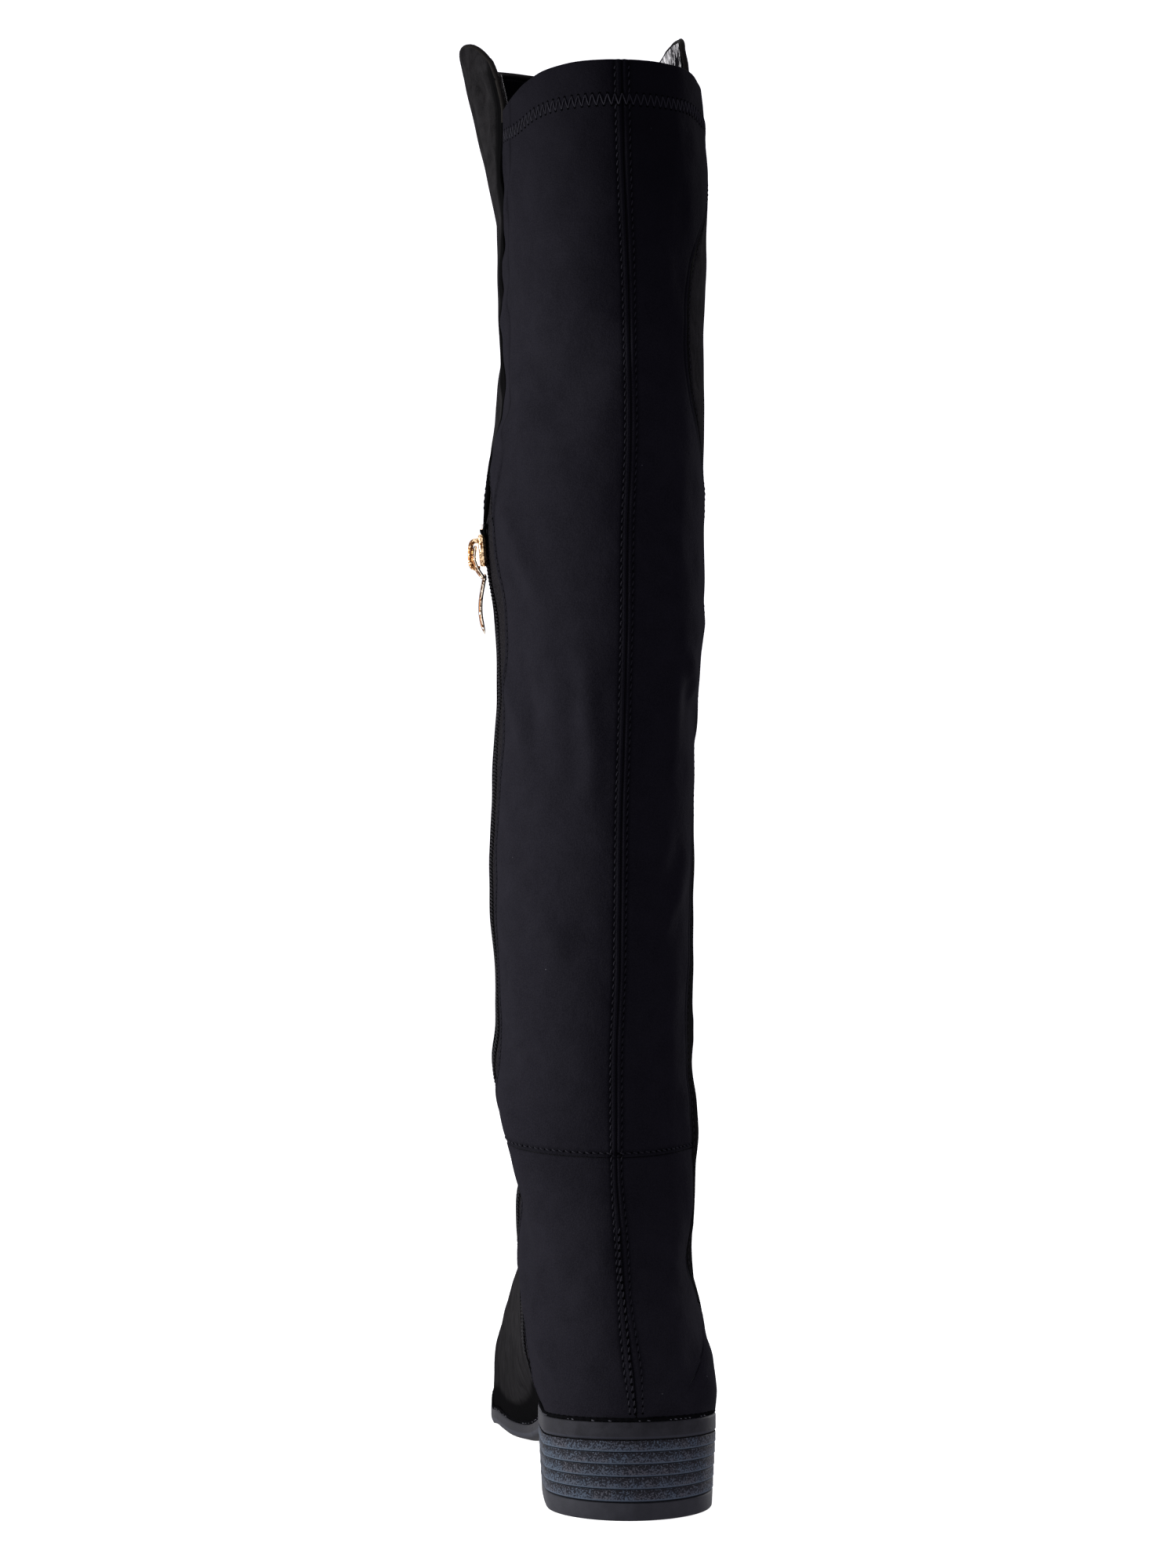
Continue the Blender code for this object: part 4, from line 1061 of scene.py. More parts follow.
class Panel:
    """A piece of the upper between two around lines and from a lower to a higher step."""

    def __init__(self, start, end, columns, width, bottom, top, spacing):
        """start and end give the around at a step, columns are mm out of a nominal width, and bottom
        and top give the height of the panel's ends at an around, or a fixed step."""
        self.start = start
        self.end = end
        self.t = columns / width
        low = self.solve(bottom, QUARTER_STEP)
        high = self.solve(top, HEEL_STEP)
        middle = len(self.t) // 2
        fine = np.linspace(low[middle], high[middle], 400)
        lengths = lengths_along(skin.at(fine, self.around(fine, self.t[middle])))
        stations = packed(lengths[-1], spacing, TURNED, TURNED)
        rise = (np.interp(stations, lengths, fine) - fine[0]) / (fine[-1] - fine[0])
        steps = low + (high - low) * rise[:, None]
        arounds = self.around(steps, self.t)
        self.points = skin.at(steps, arounds)
        self.normals = skin.normal(steps, arounds)
        self.channel = skin.sample(skin.channels, steps, arounds)[..., 0]

    def around(self, step, t):
        return self.start(step) + (self.end(step) - self.start(step)) * t

    def solve(self, limit, low):
        """The step of each column's end: a fixed step, or where the skin meets a height."""
        if isinstance(limit, (int, float)):
            return np.full(len(self.t), float(limit))
        steps = skin.steps[skin.steps >= low][:, None]
        arounds = self.around(steps, self.t)
        miss = skin.sample(skin.points, steps, arounds)[..., 2] - limit(arounds)
        return np.array([np.interp(0.0, column, steps[:, 0]) for column in miss.T])

    def turn_edges(self, bottom=False, top=False):
        """Rounds the panel's sides inwards, and its lower or upper end if asked to."""
        across = lengths_along(self.points, axis=1)
        upwards = lengths_along(self.points)
        drop = np.maximum(edge_drop(across), edge_drop(across[:, -1:] - across))
        if bottom:
            drop = np.maximum(drop, edge_drop(upwards))
        if top:
            drop = np.maximum(drop, edge_drop(upwards[-1:] - upwards))
        self.shift(drop[..., None])

    def shift(self, depth):
        """Moves the panel inwards."""
        self.points = self.points - self.normals * depth

    def fold_top(self, depth):
        """Turns the upper edge over and down the inside, by a number of rows."""
        rim, normal = self.points[-1], self.normals[-1]
        outwards = unit(np.cross(normal, unit(np.gradient(rim, axis=0))))
        outwards *= np.sign(np.sum(outwards * (rim - self.points[-2]), axis=1, keepdims=True))
        self.rim = (rim, rim - normal * 2 * COLLAR_RADIUS)
        bead = [rim + outwards * COLLAR_RADIUS * math.sin(a) - normal * COLLAR_RADIUS * (1 - math.cos(a))
                for a in np.linspace(0, math.pi, 8)[1:]]
        inside = (self.points - WALL * self.normals)[-2:-2 - depth:-1]
        self.points = np.concatenate((self.points, bead, inside))

    def faces(self):
        return grid_faces(*self.points.shape[:2], flip=self.end(20.0) < self.start(20.0))

    def piece(self, name, material):
        obj = add_mesh(name, self.points, self.faces(), material)
        channel = np.zeros(self.points.shape[:2])
        channel[:len(self.channel)] = self.channel
        add_values(obj, "channel", channel)
        finish_piece(weld(obj))


# ---- the upper

def rear(step):
    return np.zeros_like(np.asarray(step, float))


def seam_inner(step):
    return skin.seam("inner", step)


def seam_outer(step):
    """The around of the outer side seam."""
    return 2 - skin.seam("outer", step)


def zip_gap(step, behind=False):
    """Part of the gap between the panels at the zip, as a share of the inner half section."""
    seam_z = skin.sample(skin.points, skin.steps, seam_inner(skin.steps))[..., 2]
    z = np.interp(step, skin.steps, seam_z)
    opening = zip_back(z) if behind else ZIP_OPENING
    opening = opening * window(ZIP_BOTTOM - 12, ZIP_BOTTOM + 4, ZIP_TOP + 2, ZIP_TOP + 30, z)
    opening = np.maximum(opening, 0.8 * ramp(ZIP_TOP + 2, ZIP_TOP + 12, z))
    return np.where(step < QUARTER_STEP, 0.0, opening / skin.half_length("inner", step))


def front_edge(step):
    return seam_inner(step) + zip_gap(step)


BACK_EDGES = {"inner": lambda step: seam_inner(step) - zip_gap(step, True),
              "outer": lambda step: -skin.seam("outer", step)}


def build_panels():
    suede_finish, stretch_finish = suede(), stretch_fabric()
    front = Panel(front_edge, seam_outer, packed(FRONT_WIDTH, FRONT_SPACING, NOTCHED, NOTCHED),
                  FRONT_WIDTH, 0.0, collar_height, FRONT_SPACING)
    front.turn_edges()
    front.fold_top(2)
    front.piece("front_panel", suede_finish)
    build_trims(front)
    columns = packed(BACK_WIDTH, PANEL_SPACING, SEWN, NOTCHED)
    for side, edge in BACK_EDGES.items():
        upper = Panel(rear, edge, columns, BACK_WIDTH, ankle, collar_height, PANEL_SPACING)
        upper.turn_edges(bottom=True)
        upper.fold_top(14)
        upper.piece("stretch_" + side, stretch_finish)
        lower = Panel(rear, edge, columns, BACK_WIDTH, QUARTER_STEP, ankle, PANEL_SPACING)
        lower.turn_edges(top=True)
        lower.piece("quarter_" + side, stretch_finish)


def build_trims(front):
    """The rolled binding round the front panel's free edge, and the piping in its inner notch."""
    def upright(edge, top):
        steps = np.linspace(COLLAR_STEP, LAST_STEP, 400)
        z = skin.at(steps, edge(steps))[..., 2]
        steps = steps[(z > NOTCH_BOTTOM) & (z < top - 0.6)]
        return skin.at(steps, edge(steps), -COLLAR_RADIUS), skin.normal(steps, edge(steps))

    rim = 0.5 * (front.rim[0] + front.rim[1])
    first, first_normals = upright(front.start, rim[0, 2])
    last, last_normals = upright(front.end, rim[-1, 2])
    line = np.concatenate((first, rim, last[::-1]))
    guides = np.concatenate((first_normals, unit(front.rim[0] - front.rim[1]), last_normals[::-1]))
    keep = np.concatenate(([True], np.diff(lengths_along(line)) > 0.15))
    binding = tube(line[keep], BINDING_RADIUS, guides[keep], sides=14)
    closed_piece("collar_binding", binding, plain("binding_leather"))
    steps = np.linspace(COLLAR_STEP, LAST_STEP, 200)
    line = skin.at(steps, front_edge(steps), -2.3)
    line = line[(line[:, 2] > NOTCH_BOTTOM + 4) & (line[:, 2] < NOTCH_BOTTOM + 19)] + (0.3, -0.5, 0)
    closed_piece("notch_piping", tube(line, PIPING_RADIUS, (0, 1, 0), sides=8), plain("satin_piping"))


def build_linings():
    # The front lining is drawn as dark knit, a shaded copy of the satin lining that the facing shows lit;
    # the back lining is the same dark knit.
    front = Panel(lambda s: seam_inner(s) - 0.01, lambda s: seam_outer(s) + 0.01,
                  np.linspace(0, FRONT_WIDTH, 80), FRONT_WIDTH, 0.0, lowered_collar(LINING_DROP), 3.0)
    front.shift(WALL + 0.1)
    front.piece("lining_front", plain("shaded_knit_lining"))
    # Painted light: the facing is a lit copy of the lining, pale satin on the outer corner where the key
    # light falls.
    facing = Panel(lambda s: seam_outer(s) - 0.33, lambda s: seam_outer(s) - 0.012,
                   np.linspace(0, FACING_WIDTH, 40), FACING_WIDTH, 30.0, lowered_collar(FACING_DROP), 1.6)
    facing.shift(WALL + 0.25)
    facing.channel = np.broadcast_to(facing.t, facing.channel.shape)
    facing.piece("lit_satin_facing", lit_satin_lining())
    parts = []
    for edge in (seam_inner, BACK_EDGES["outer"]):
        half = Panel(rear, edge, np.linspace(0, BACK_WIDTH, 28), BACK_WIDTH, QUARTER_STEP,
                     lowered_collar(BACK_LINING_DROP), LINING_SPACING)
        half.shift(WALL - 0.4)
        parts.append((half.points, half.faces()))
    finish_piece(weld(add_mesh("lining_back", *joined(parts), plain("shaded_knit_lining"))))


# ---- stitches

def stitches(name, paths, pitch, length, slant, radius, material):
    """Rows of stitches along paths; returns the needle's holes between them, with their normals."""
    starts, ends, normals, holes = [], [], [], []
    for path in paths:
        middles = np.arange(pitch / 2, path.total, pitch)
        a, normal_a = path.at(middles - length / 2)
        b, normal_b = path.at(middles + length / 2)
        normals.append(unit(normal_a + normal_b))
        sideways = unit(np.cross(normals[-1], b - a)) * slant
        starts.append(a + sideways)
        ends.append(b - sideways)
        holes.append(path.at(np.arange(0, path.total, pitch)))
    rows = (np.concatenate(part) for part in (starts, ends, normals))
    finish_piece(tubes(name, *rows, radius, 0.16, material, sink=0.06))
    return [np.concatenate(part) for part in zip(*holes)]


def beside(side, steps, around, distance, lift=0.0):
    """A path at a distance in mm from the line of an around at each step."""
    return Path(steps, around + distance / skin.half_length(side, steps), lift)


def build_stitches():
    heights = np.linspace(41, 549.5, 900)
    steps = skin.line_steps(rear, heights, HEEL_STEP)
    rows = [beside(side, steps, 0.0, sign * np.interp(heights, LOW_ROWS[0], LOW_ROWS[k]))
            for k, side, sign in ((1, "inner", 1), (2, "outer", -1))]
    low = heights < 112
    rows.append(beside("inner", steps[low], 0.0, 0.5 + 0.5 * np.sin(heights[low] / 7.0), 0.1))
    holes = [stitches("rear_stitches", rows, *REAR_STITCHES, plain("seam_thread"))]

    rows = []
    for edge in BACK_EDGES.values():
        share = np.linspace(0.02, 0.985, 300)
        step = np.full_like(share, ANKLE_STEP)
        for _ in range(4):
            around = edge(step) * share
            step = skin.step_at(around, ankle(around) + ANKLE_ROW)
        rows.append(Path(step, around))
    holes.append(stitches("ankle_stitches", rows, *ANKLE_STITCHES, plain("seam_thread")))

    rows = []
    for side, seam, edge, offset, top in (("inner", seam_inner, BACK_EDGES["inner"], -EDGE_ROW, 400),
                                          ("inner", seam_inner, front_edge, EDGE_ROW, 400),
                                          ("outer", seam_outer, seam_outer, -EDGE_ROW, 545)):
        steps = np.linspace(*skin.line_steps(seam, (42, top)), 500)
        rows.append(beside(side, steps, edge(steps), offset))
    holes.append(stitches("side_stitches", rows, *SIDE_STITCHES, plain("edge_thread")))

    around = np.linspace(-SEAM_SHARE + 0.012, SEAM_SHARE - 0.012, 500)
    middle = collar_height(around) - HEM_DEPTH + 4.5 * ramp(0.27, 0.41, np.abs(around))
    lines = [Path(skin.step_at(around, middle + rise * ZIGZAG_HEIGHT, HEM_STEP), around, 0.05)
             for rise in (-0.5, 0.5)]
    turns = np.arange(0, lines[0].total, ZIGZAG_PITCH / 2)
    turns = turns + np.random.default_rng(SEED + 2).uniform(-0.12, 0.12, len(turns))
    corners = [lines[i % 2].at(turn * lines[i % 2].total / lines[0].total) for i, turn in enumerate(turns)]
    points, normals = (np.array(part) for part in zip(*corners))
    finish_piece(tubes("hem_zigzag", points[:-1], points[1:], normals[:-1] + normals[1:],
                       0.24, 0.22, plain("hem_thread"), sink=0.02))
    holes.append((points, normals))
    centres, normals = (np.concatenate(part) for part in zip(*holes))
    finish_piece(dots("needle_holes", centres, normals, HOLE_RADIUS, plain("needle_hole")))


# ---- the sole and the heel

OUTSOLE_CHAMFER = 0.9
TREAD_GROOVE = 0.8
TREAD_PITCH = 5.5
SOLE_LEVELS = (               # margin, line, height over the line, share of the lift of the lower edge
    (SOLE_MARGIN - 4.5, tread_height, 0, 0),
    (SOLE_MARGIN - OUTSOLE_CHAMFER, tread_height, 0, 0.45),
    (SOLE_MARGIN - 0.3, tread_height, 0.5, 0.8),
    (SOLE_MARGIN, tread_height, 1.0, 1),
    (SOLE_MARGIN, tread_height, 1.5, 1),
    (SOLE_MARGIN, sole_top, -1.0, 0),
    *((SOLE_MARGIN - OUTSOLE_CHAMFER * (1 - math.cos(a)), sole_top, OUTSOLE_CHAMFER * (math.sin(a) - 1), 0)
      for a in (0.4, 0.8, 1.2, 1.57)),
)
INSOLE_LEVELS = tuple((-(WALL + 1.8) - inset, sole_top, GAP + height, 0) for inset, height in (
    (0, 0), (0, INSOLE_THICKNESS - 0.8), (0.3, INSOLE_THICKNESS - 0.2), (0.9, INSOLE_THICKNESS)))
LAYER_PROFILE = ((0, 0.34), (0.03, 0.26), (0.07, 0.10), (0.12, -0.08), (0.18, -0.12), (0.30, -0.05),
                 (0.50, 0), (0.75, 0.02), (0.88, 0.07), (0.94, 0.15), (0.98, 0.26))   # share, inset
LIFT_TOP = LIFT_HEIGHT - GAP
LIFT_PROFILE = ((0, 0.9), (0.15, 0.35), (0.5, 0.08), (1.0, 0), (LIFT_TOP - 0.5, 0),
                (LIFT_TOP - 0.12, 0.15), (LIFT_TOP, 0.5))        # height, inset


def slab(levels, shares, columns, relief=None):
    """A closed slab between outlines at levels, with relief on its underside."""
    rings = []
    for margin, line, height, lifted in levels:
        y = -margin + (SOLE_LENGTH + 2 * margin) * shares
        edge_lift = EDGE_LIFT * ramp(HEEL_LENGTH + 10, TREAD_BACK - 30, y)
        inner, outer = outline_sides(y, line(y) + height + lifted * edge_lift, margin)
        rings.append(np.concatenate((inner, outer[-2:0:-1])))
    parts = [(rings, grid_faces(len(rings), len(rings[0]), closed=True))]
    count = len(shares)
    t = np.linspace(0, 1, columns)[None, :, None]
    for ring, shape in ((rings[0], relief), (rings[-1], None)):
        outer = np.concatenate((ring[:1], ring[count:][::-1], ring[count - 1:count]))
        grid = ring[:count, None] * (1 - t) + outer[:, None] * t
        if shape:
            grid[..., 2] += shape(grid, t[..., 0])
        parts.append((grid, grid_faces(count, columns)))
    return joined(parts)


def tread(grid, t):
    """Height of the grooves across the tread, which run out towards the sole's edges."""
    y = grid[..., 1] + 6 * (2 * t - 1) ** 2
    groove = ramp(0.68, 0.86, np.abs((y / TREAD_PITCH) % 1.0 - 0.5) * 2)
    inside = window(0, 0.08, 0.92, 1, t)
    reach = window(TREAD_BACK - 38, TREAD_BACK - 30, SOLE_LENGTH - 26, SOLE_LENGTH - 20, y)
    return TREAD_GROOVE * groove * inside * reach


def build_sole():
    over_tread = np.arange(0.46, 0.93, 0.0022)
    shares = np.unique(np.round(np.concatenate((rounded_shares(120), over_tread)), 5))
    points, faces = slab(SOLE_LEVELS, shares, 16, tread)
    ring = 2 * len(shares) - 2
    # The rings of the lower edge's chamfer carry the painted highlight.
    lip = np.zeros(len(points))
    lip[2 * ring:4 * ring] = np.repeat((0.7, 1.0), ring)
    closed_piece("outsole_edge", (points, faces), sole_rubber(), "sole_charcoal", "outsole",
                 values=("lip", lip), welded=True)
    shares = rounded_shares(100)
    closed_piece("sock", slab(INSOLE_LEVELS, shares, 12), plain("sock_leather"), "insole_black", "insole",
                 welded=True)
    build_feather(shares)


def build_feather(shares):
    """The twisted cord round the feather line, with loose threads at some of its turns."""
    y = -0.2 + (SOLE_LENGTH + 0.4) * shares
    inner, outer = outline_sides(y, sole_top(y) + 0.75, 0.2)
    loop = np.concatenate((inner, outer[-2:0:-1], inner[:1]))
    lengths = lengths_along(loop)
    even = np.arange(0, lengths[-1], CORD_SPACING)
    line = between(even, lengths, loop)
    rng = np.random.default_rng(SEED + 1)
    girth = CORD_RADIUS + 0.10 * np.sin(even * TAU / CORD_TWIST) + rng.uniform(-0.07, 0.07, len(even))
    closed_piece("feather_cord", tube(line, girth, (0, 0, 1), closed=True), plain("twisted_thread"),
                 welded=True)
    chosen = np.flatnonzero(rng.uniform(size=len(line) // 4) < LOOSE_THREADS) * 4
    along = unit(np.roll(line, -1, axis=0) - np.roll(line, 1, axis=0))[chosen]
    out = np.cross(along, (0, 0, 1))
    out *= np.sign(out[0] @ (line[chosen[0]] - line.mean(0)))
    middle = line[chosen] + out * 0.55 + (0, 0, -0.25)
    half = along * rng.uniform(0.35, 0.75, (len(chosen), 1)) + (0, 0, 0.12)
    finish_piece(tubes("feather_threads", middle - half, middle + half, out, 0.20, 0.2,
                       plain("welt_thread"), sink=0.0))


def heel_ring(z, inset, tilt=0.0):
    """The heel's outline at a height: the sole's rounded back, closed by a hollow breast."""
    margin = SOLE_MARGIN - HEEL_TAPER * (1 - z / SEAT_BACK_HEIGHT) - inset
    y = -margin + (HEEL_LENGTH + 2 * margin) * rounded_shares(70, math.pi / 2)
    inner, outer = outline_sides(y, y, margin)
    t = np.arange(1, 16) / 16
    breast = inner[-1] + (outer[-1] - inner[-1]) * t[:, None]
    breast[:, 1] = y[-1] - BREAST_HOLLOW * (1 - (2 * t - 1) ** 2)
    ring = np.concatenate((inner, breast, outer[:0:-1]))
    ring[:, 2] = z - tilt * ring[:, 1]
    return ring


def build_heel():
    layer = (SEAT_BACK_HEIGHT - LIFT_HEIGHT) / HEEL_LAYERS
    levels = [(LIFT_HEIGHT + (i + share) * layer, inset, share)
              for i in range(HEEL_LAYERS) for share, inset in LAYER_PROFILE]
    levels.append((SEAT_BACK_HEIGHT - GAP, 0.2, 0.95))
    slope = (SEAT_BACK_HEIGHT - SEAT_FRONT_HEIGHT) / HEEL_LENGTH / (SEAT_BACK_HEIGHT - LIFT_HEIGHT)
    rings = [heel_ring(z, inset, slope * (z - LIFT_HEIGHT)) for z, inset, _ in levels]
    shares = np.repeat([share for *_, share in levels], len(rings[0]))
    closed_piece("heel_layers", capped(rings), stacked_heel(), "heel_stack", "heel_block",
                 values=("layer", shares))
    rings = [heel_ring(z, inset) for z, inset in LIFT_PROFILE]
    closed_piece("lift", capped(rings), plain("lift_rubber"), "lift_black", "top_lift")


# ---- the zip

HINGE = np.array(frame["joints"][0]["pos_m"]) / MM + (HEEL_CENTRE_X, HEEL_CENTRE_Y, 0)
PULL_WIRE = 0.8
SLIDER_FACE = HINGE[0] + GAP + PULL_WIRE
SLIDER_BOTTOM = 363.5
SLIDER_LENGTH = 12.5
SLIDER_LEVEL = 374.0         # where its face is upright over the hinge; it leans out below
SLIDER_LEAN = 0.09
BAIL_MIDDLE = 368.2          # height of the slider's bail, which the pull hangs on
BAIL_REACH = 5.4
PULL_LOOP_LENGTH = 12.5
PULL_LOOP_WIDTH = 5.6
LOOP_BOW = 1.2
LOOP_LEAN = 3.8
TAB_LENGTH = 21.4
TAB_WIDTH = 5.2
TAB_WAVE = 1.8
TAB_OVERLAP = 2.2
TAB_START = PULL_LOOP_LENGTH - TAB_OVERLAP
TAPE_TUCK = 1.6              # depth of the tape's tucked ends
TOOTH_REACH = 1.95           # of the zip's teeth from its middle line
TAPE_PROFILE = ((-19, -1.7), (-16, -1.6), (-13, -1.5), (-11, -1.4), (-9, -1.2), (-6.5, -1.0),
                (-4.4, -0.8), (-3.2, -0.5), (-2.5, -0.2), (-1.6, -0.05), (0, -0.1), (1.6, -0.05),
                (2.4, -0.2), (3.0, -0.6), (3.7, -1.2), (4.8, -1.6))                # across, lift


def on_zip(z, across, lift):
    """Points over the zip's middle line at heights, moved across it and off the skin."""
    steps = skin.line_steps(seam_inner, z)
    arounds = seam_inner(steps) + np.asarray(across) / skin.half_length("inner", steps)
    return skin.at(steps, arounds, lift), skin.normal(steps, arounds)


def build_zip():
    z = np.arange(ZIP_BOTTOM - 8, ZIP_TOP + 30, 1.6)[:, None]
    across, rise = np.array(TAPE_PROFILE).T[:, None]
    tucked = np.maximum(1 - ramp(ZIP_BOTTOM - 8, ZIP_BOTTOM - 1, z), ramp(ZIP_TOP + 2, ZIP_TOP + 9, z))
    points, _ = on_zip(z, across, rise * (1 - tucked) - TAPE_TUCK * tucked)
    tape = add_mesh("zip_tape", points, grid_faces(*points.shape[:2]), zip_tape_finish())
    finish_piece(tape, "zip_black", "zip_chain")
    rows = []
    for sign in (-1, 1):
        low = np.arange(ZIP_BOTTOM, ZIP_TOP - 1, TOOTH_PITCH) + (TOOTH_PITCH / 2 if sign > 0 else 0)
        starts, normals = on_zip(low, sign * TOOTH_REACH, 0.15)
        rows.append((starts, on_zip(low + 0.35, sign * -0.15, 0.55)[0], normals))
    starts, ends, normals = (np.concatenate(part) for part in zip(*rows))
    teeth = tubes("zip_teeth", starts, ends, normals, 0.50, 0.35, zip_teeth_finish(), rings=7, sink=0.0)
    finish_piece(teeth, "zip_black", "zip_chain")


def slider_half_width(share, inset):
    """Half width of the slider at a share of its length from its lower end."""
    width = 2.75 + 1.0 * ramp(0.25, 0.85, share)
    past_end = np.maximum(0, np.abs(2 * share - 1) - 0.80)
    ends = np.minimum(1, np.sqrt(np.maximum(0, 1 - past_end ** 2 / 0.04)))
    return np.maximum(0.02, (width - inset) * (0.55 + 0.45 * ends))


def build_slider():
    rings = []
    share = rounded_shares(24)
    for inset, depth in ((0.5, 2.7), (0.05, 2.3), (0, 1.4), (0, 0.55), (0.18, 0.2), (0.55, 0.02),
                         (1.4, -0.12), (2.4, -0.18)):
        z = SLIDER_BOTTOM + inset + (SLIDER_LENGTH - 2 * inset) * share
        half = slider_half_width(share, inset)
        x = SLIDER_FACE + depth + SLIDER_LEAN * (SLIDER_LEVEL - z)
        left, right = (np.stack((x, HINGE[1] + sign * half, z), axis=1) for sign in (-1, 1))
        rings.append(np.concatenate((left, right[::-1])))
    angles = np.linspace(0, math.pi, 41)
    out = SLIDER_FACE + 0.8 - (3.0 + 0.8) * np.sin(angles) ** 0.42
    rise = BAIL_MIDDLE + BAIL_REACH * swollen(np.cos(angles), 0.6)
    bail = np.stack((out, np.full_like(out, HINGE[1]), rise), axis=1)
    points, faces = joined([capped(rings), tube(bail, 1.0, (0, 1, 0), sides=12)])
    gold = metal("slider_gold", (0.86, 0.64, 0.38), 0.13, (0.13, 0.050, 0.016))
    # Painted reflection: the dark patches gather on the bail's outer arch.
    on_bail = np.clip((SLIDER_FACE - 0.9 - points[:, 0]) / 2.0, 0, 1)
    closed_piece("slider_body", (points, faces), gold, "slider_metal", "zip_slider",
                 values=("reflection_bias", on_bail))


def loop_offset(down):
    share = down / PULL_LOOP_LENGTH
    return LOOP_LEAN * share**2 - LOOP_BOW * np.sin(math.pi * share)


def tab_offset(share):
    return LOOP_LEAN - TAB_WAVE * np.sin(math.pi * share**1.2)


def build_pull():
    angle = circle(64)
    across = PULL_LOOP_WIDTH / 2 * swollen(np.sin(angle), 0.6)
    down = PULL_LOOP_LENGTH / 2 * (1 - swollen(np.cos(angle), 0.8))
    line = HINGE + np.stack((loop_offset(down), across, -down), axis=1)
    turns = circle(20, 0.5)
    rings = []
    for t in np.linspace(0, 1, 41):
        down = TAB_START + (TAB_LENGTH + TAB_OVERLAP) * t
        swell = 0.72 + 0.28 * math.sin(math.pi * min(1.0, 0.15 + t))
        close = (math.sqrt(max(0.02, 1 - max(0, (t - 0.9) / 0.1) ** 2))
                 * math.sqrt(max(0.02, min(1, t / 0.05))))
        half_width = TAB_WIDTH / 2 * swell * (0.4 + 0.6 * close)
        half_depth = 0.85 * (1 - 0.35 * ramp(0.8, 1.0, t)) * close
        side = half_width * swollen(np.cos(turns), 0.6)
        out = half_depth * swollen(np.sin(turns), 0.7)
        rings.append(HINGE + np.stack((tab_offset(t) + out, side, np.full_like(side, -down)), axis=1))
    points, faces = joined([tube(line, 0.72, (1, 0, 0), sides=14, closed=True), capped(rings)])
    down = HINGE[2] - points[:, 2]
    on_tab = tab_offset(np.clip((down - TAB_START) / (TAB_LENGTH + TAB_OVERLAP), 0, 1))
    middle = np.where(down < PULL_LOOP_LENGTH, loop_offset(down), on_tab)
    # Painted reflection: the dark patches gather on the pull's outer face, away from the boot.
    reflection_bias = 2.4 * ramp(0.05, 0.4, HINGE[0] + middle - points[:, 0]) - 0.7
    gold = metal("pull_gold_plate", (0.95, 0.83, 0.66), 0.12, (0.07, 0.030, 0.012))
    closed_piece("pull", (points, faces), gold, "pull_gold", "zip_pull", "zip_pull",
                 values=("reflection_bias", reflection_bias), welded=True)


def build_top_stop():
    """A small bright clip over the tape, and the tape's folded ends above it."""
    height = ZIP_TOP + 3.0
    turns = circle(24, 0.5)
    rings = [on_zip(height + (1.1 - inset) * swollen(np.sin(turns), 0.35),
                    (2.3 - inset) * swollen(np.cos(turns), 0.35), lift)[0]
             for inset, lift in ((0.25, 0.3), (0, 0.5), (0, 2.0), (0.2, 2.5), (0.7, 2.7))]
    steel = metal("stop_steel", (0.72, 0.68, 0.64), 0.25)
    closed_piece("top_stop", capped(rings), steel, "stop_metal", "zip_top_stop")
    knobs = []
    z = np.linspace(height - 3.8, height + 1.2, 12)
    for sign, low, rise, thin, swell in ((-1, 0.2, 0.6, 0.4, 0.3), (1, 0.1, 0.7, 0.45, 0.5)):
        line, _ = on_zip(z, sign * (2.2 + 0.9 * bow(12)), low + rise * bow(12))
        knobs.append(tube(line, thin + swell * bow(12), (1, 0, 0)))
    closed_piece("tape_ends", joined(knobs), plain("twisted_thread"), "zip_black", "zip_chain")


# ---- stage, lights and camera

LIGHTS = {                   # position and target in metres, width and height, power in watts
    "key": ((-0.8, -0.03, 0.22), (0, 0, 0.22), (0.3, 0.5), 13),
    "rim": ((1.2, 1.3, 0.35), (0, 0, 0.2), (0.4, 1.4), 40),
    "low": ((0.055, -0.14, 0.02), (0.01, -0.03, 0.03), (0.06, 0.03), 0.045),
}
FLOOR_REACH = 8
DOME_RADIUS = 7.5


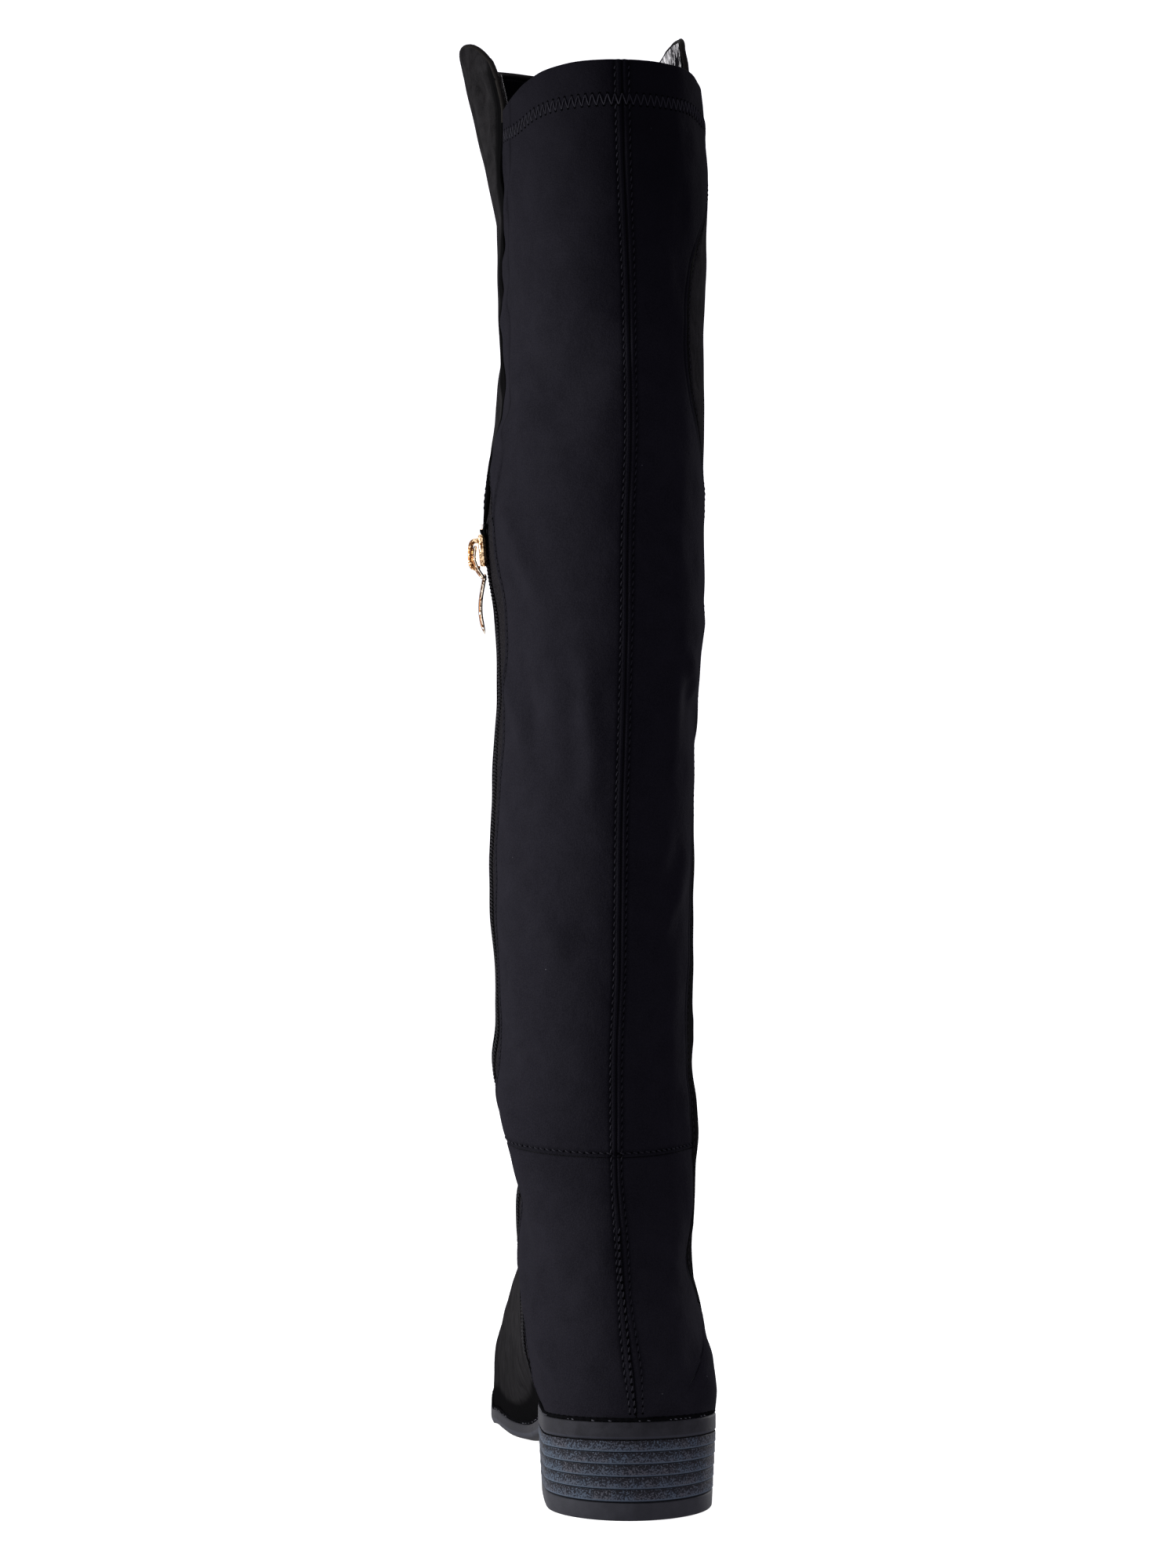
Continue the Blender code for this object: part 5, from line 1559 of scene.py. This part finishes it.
def flat_finish(name, color, glow):
    finish = Finish(name, color, 0.9, specular=0.1)
    finish.feed({"Emission Color": (1, 1, 1, 1), "Emission Strength": glow})
    return finish.material


def build_stage():
    floor = new_object("floor", bpy.data.meshes.new("floor"))
    corners = [(x * FLOOR_REACH, y * FLOOR_REACH, 0) for x, y in ((-1, -1), (1, -1), (1, 1), (-1, 1))]
    floor.data.from_pydata(corners, [], [(0, 1, 2, 3)])
    floor.data.materials.append(flat_finish("pale_floor", (0.6, 0.6, 0.6), 0.86))
    floor.visible_diffuse = False
    dome = new_object("backdrop", bpy.data.meshes.new("backdrop"))

    def shape(bm):
        bmesh.ops.create_uvsphere(bm, u_segments=48, v_segments=24, radius=DOME_RADIUS)
        bmesh.ops.reverse_faces(bm, faces=bm.faces)

    edited(dome, shape)
    dome.data.materials.append(flat_finish("white_backdrop", (0.8, 0.8, 0.8), 1.0))
    for kind in ("diffuse", "transmission", "volume_scatter", "shadow"):
        setattr(dome, "visible_" + kind, False)


def build_lights():
    world = bpy.data.worlds.new("studio")
    world.use_nodes = True
    background = world.node_tree.nodes["Background"]
    background.inputs["Color"].default_value = (1.0, 0.94, 1.18, 1)
    background.inputs["Strength"].default_value = 0.35
    bpy.context.scene.world = world
    for name, (position, target, size, power) in LIGHTS.items():
        data = bpy.data.lights.new(name, 'AREA')
        data.shape = 'RECTANGLE'
        data.size, data.size_y = size
        data.energy = power
        light = new_object(name, data)
        light.location = position
        light.rotation_euler = (Vector(target) - Vector(position)).to_track_quat('-Z', 'Y').to_euler()
        light.visible_camera = False


def build_camera():
    data = bpy.data.cameras.new("camera")
    data.lens = 85.2
    data.sensor_width = 36
    camera = new_object("camera", data)
    camera.location = (-0.1826, -1.4189, 0.300)
    camera.rotation_euler = (math.radians(89.15), 0, math.radians(-6.7))
    bpy.context.scene.camera = camera


build_panels()
build_linings()
build_stitches()
build_sole()
build_heel()
build_zip()
build_slider()
build_pull()
build_top_stop()
build_stage()
build_lights()
build_camera()
bpy.context.scene.view_settings.view_transform = 'Standard'
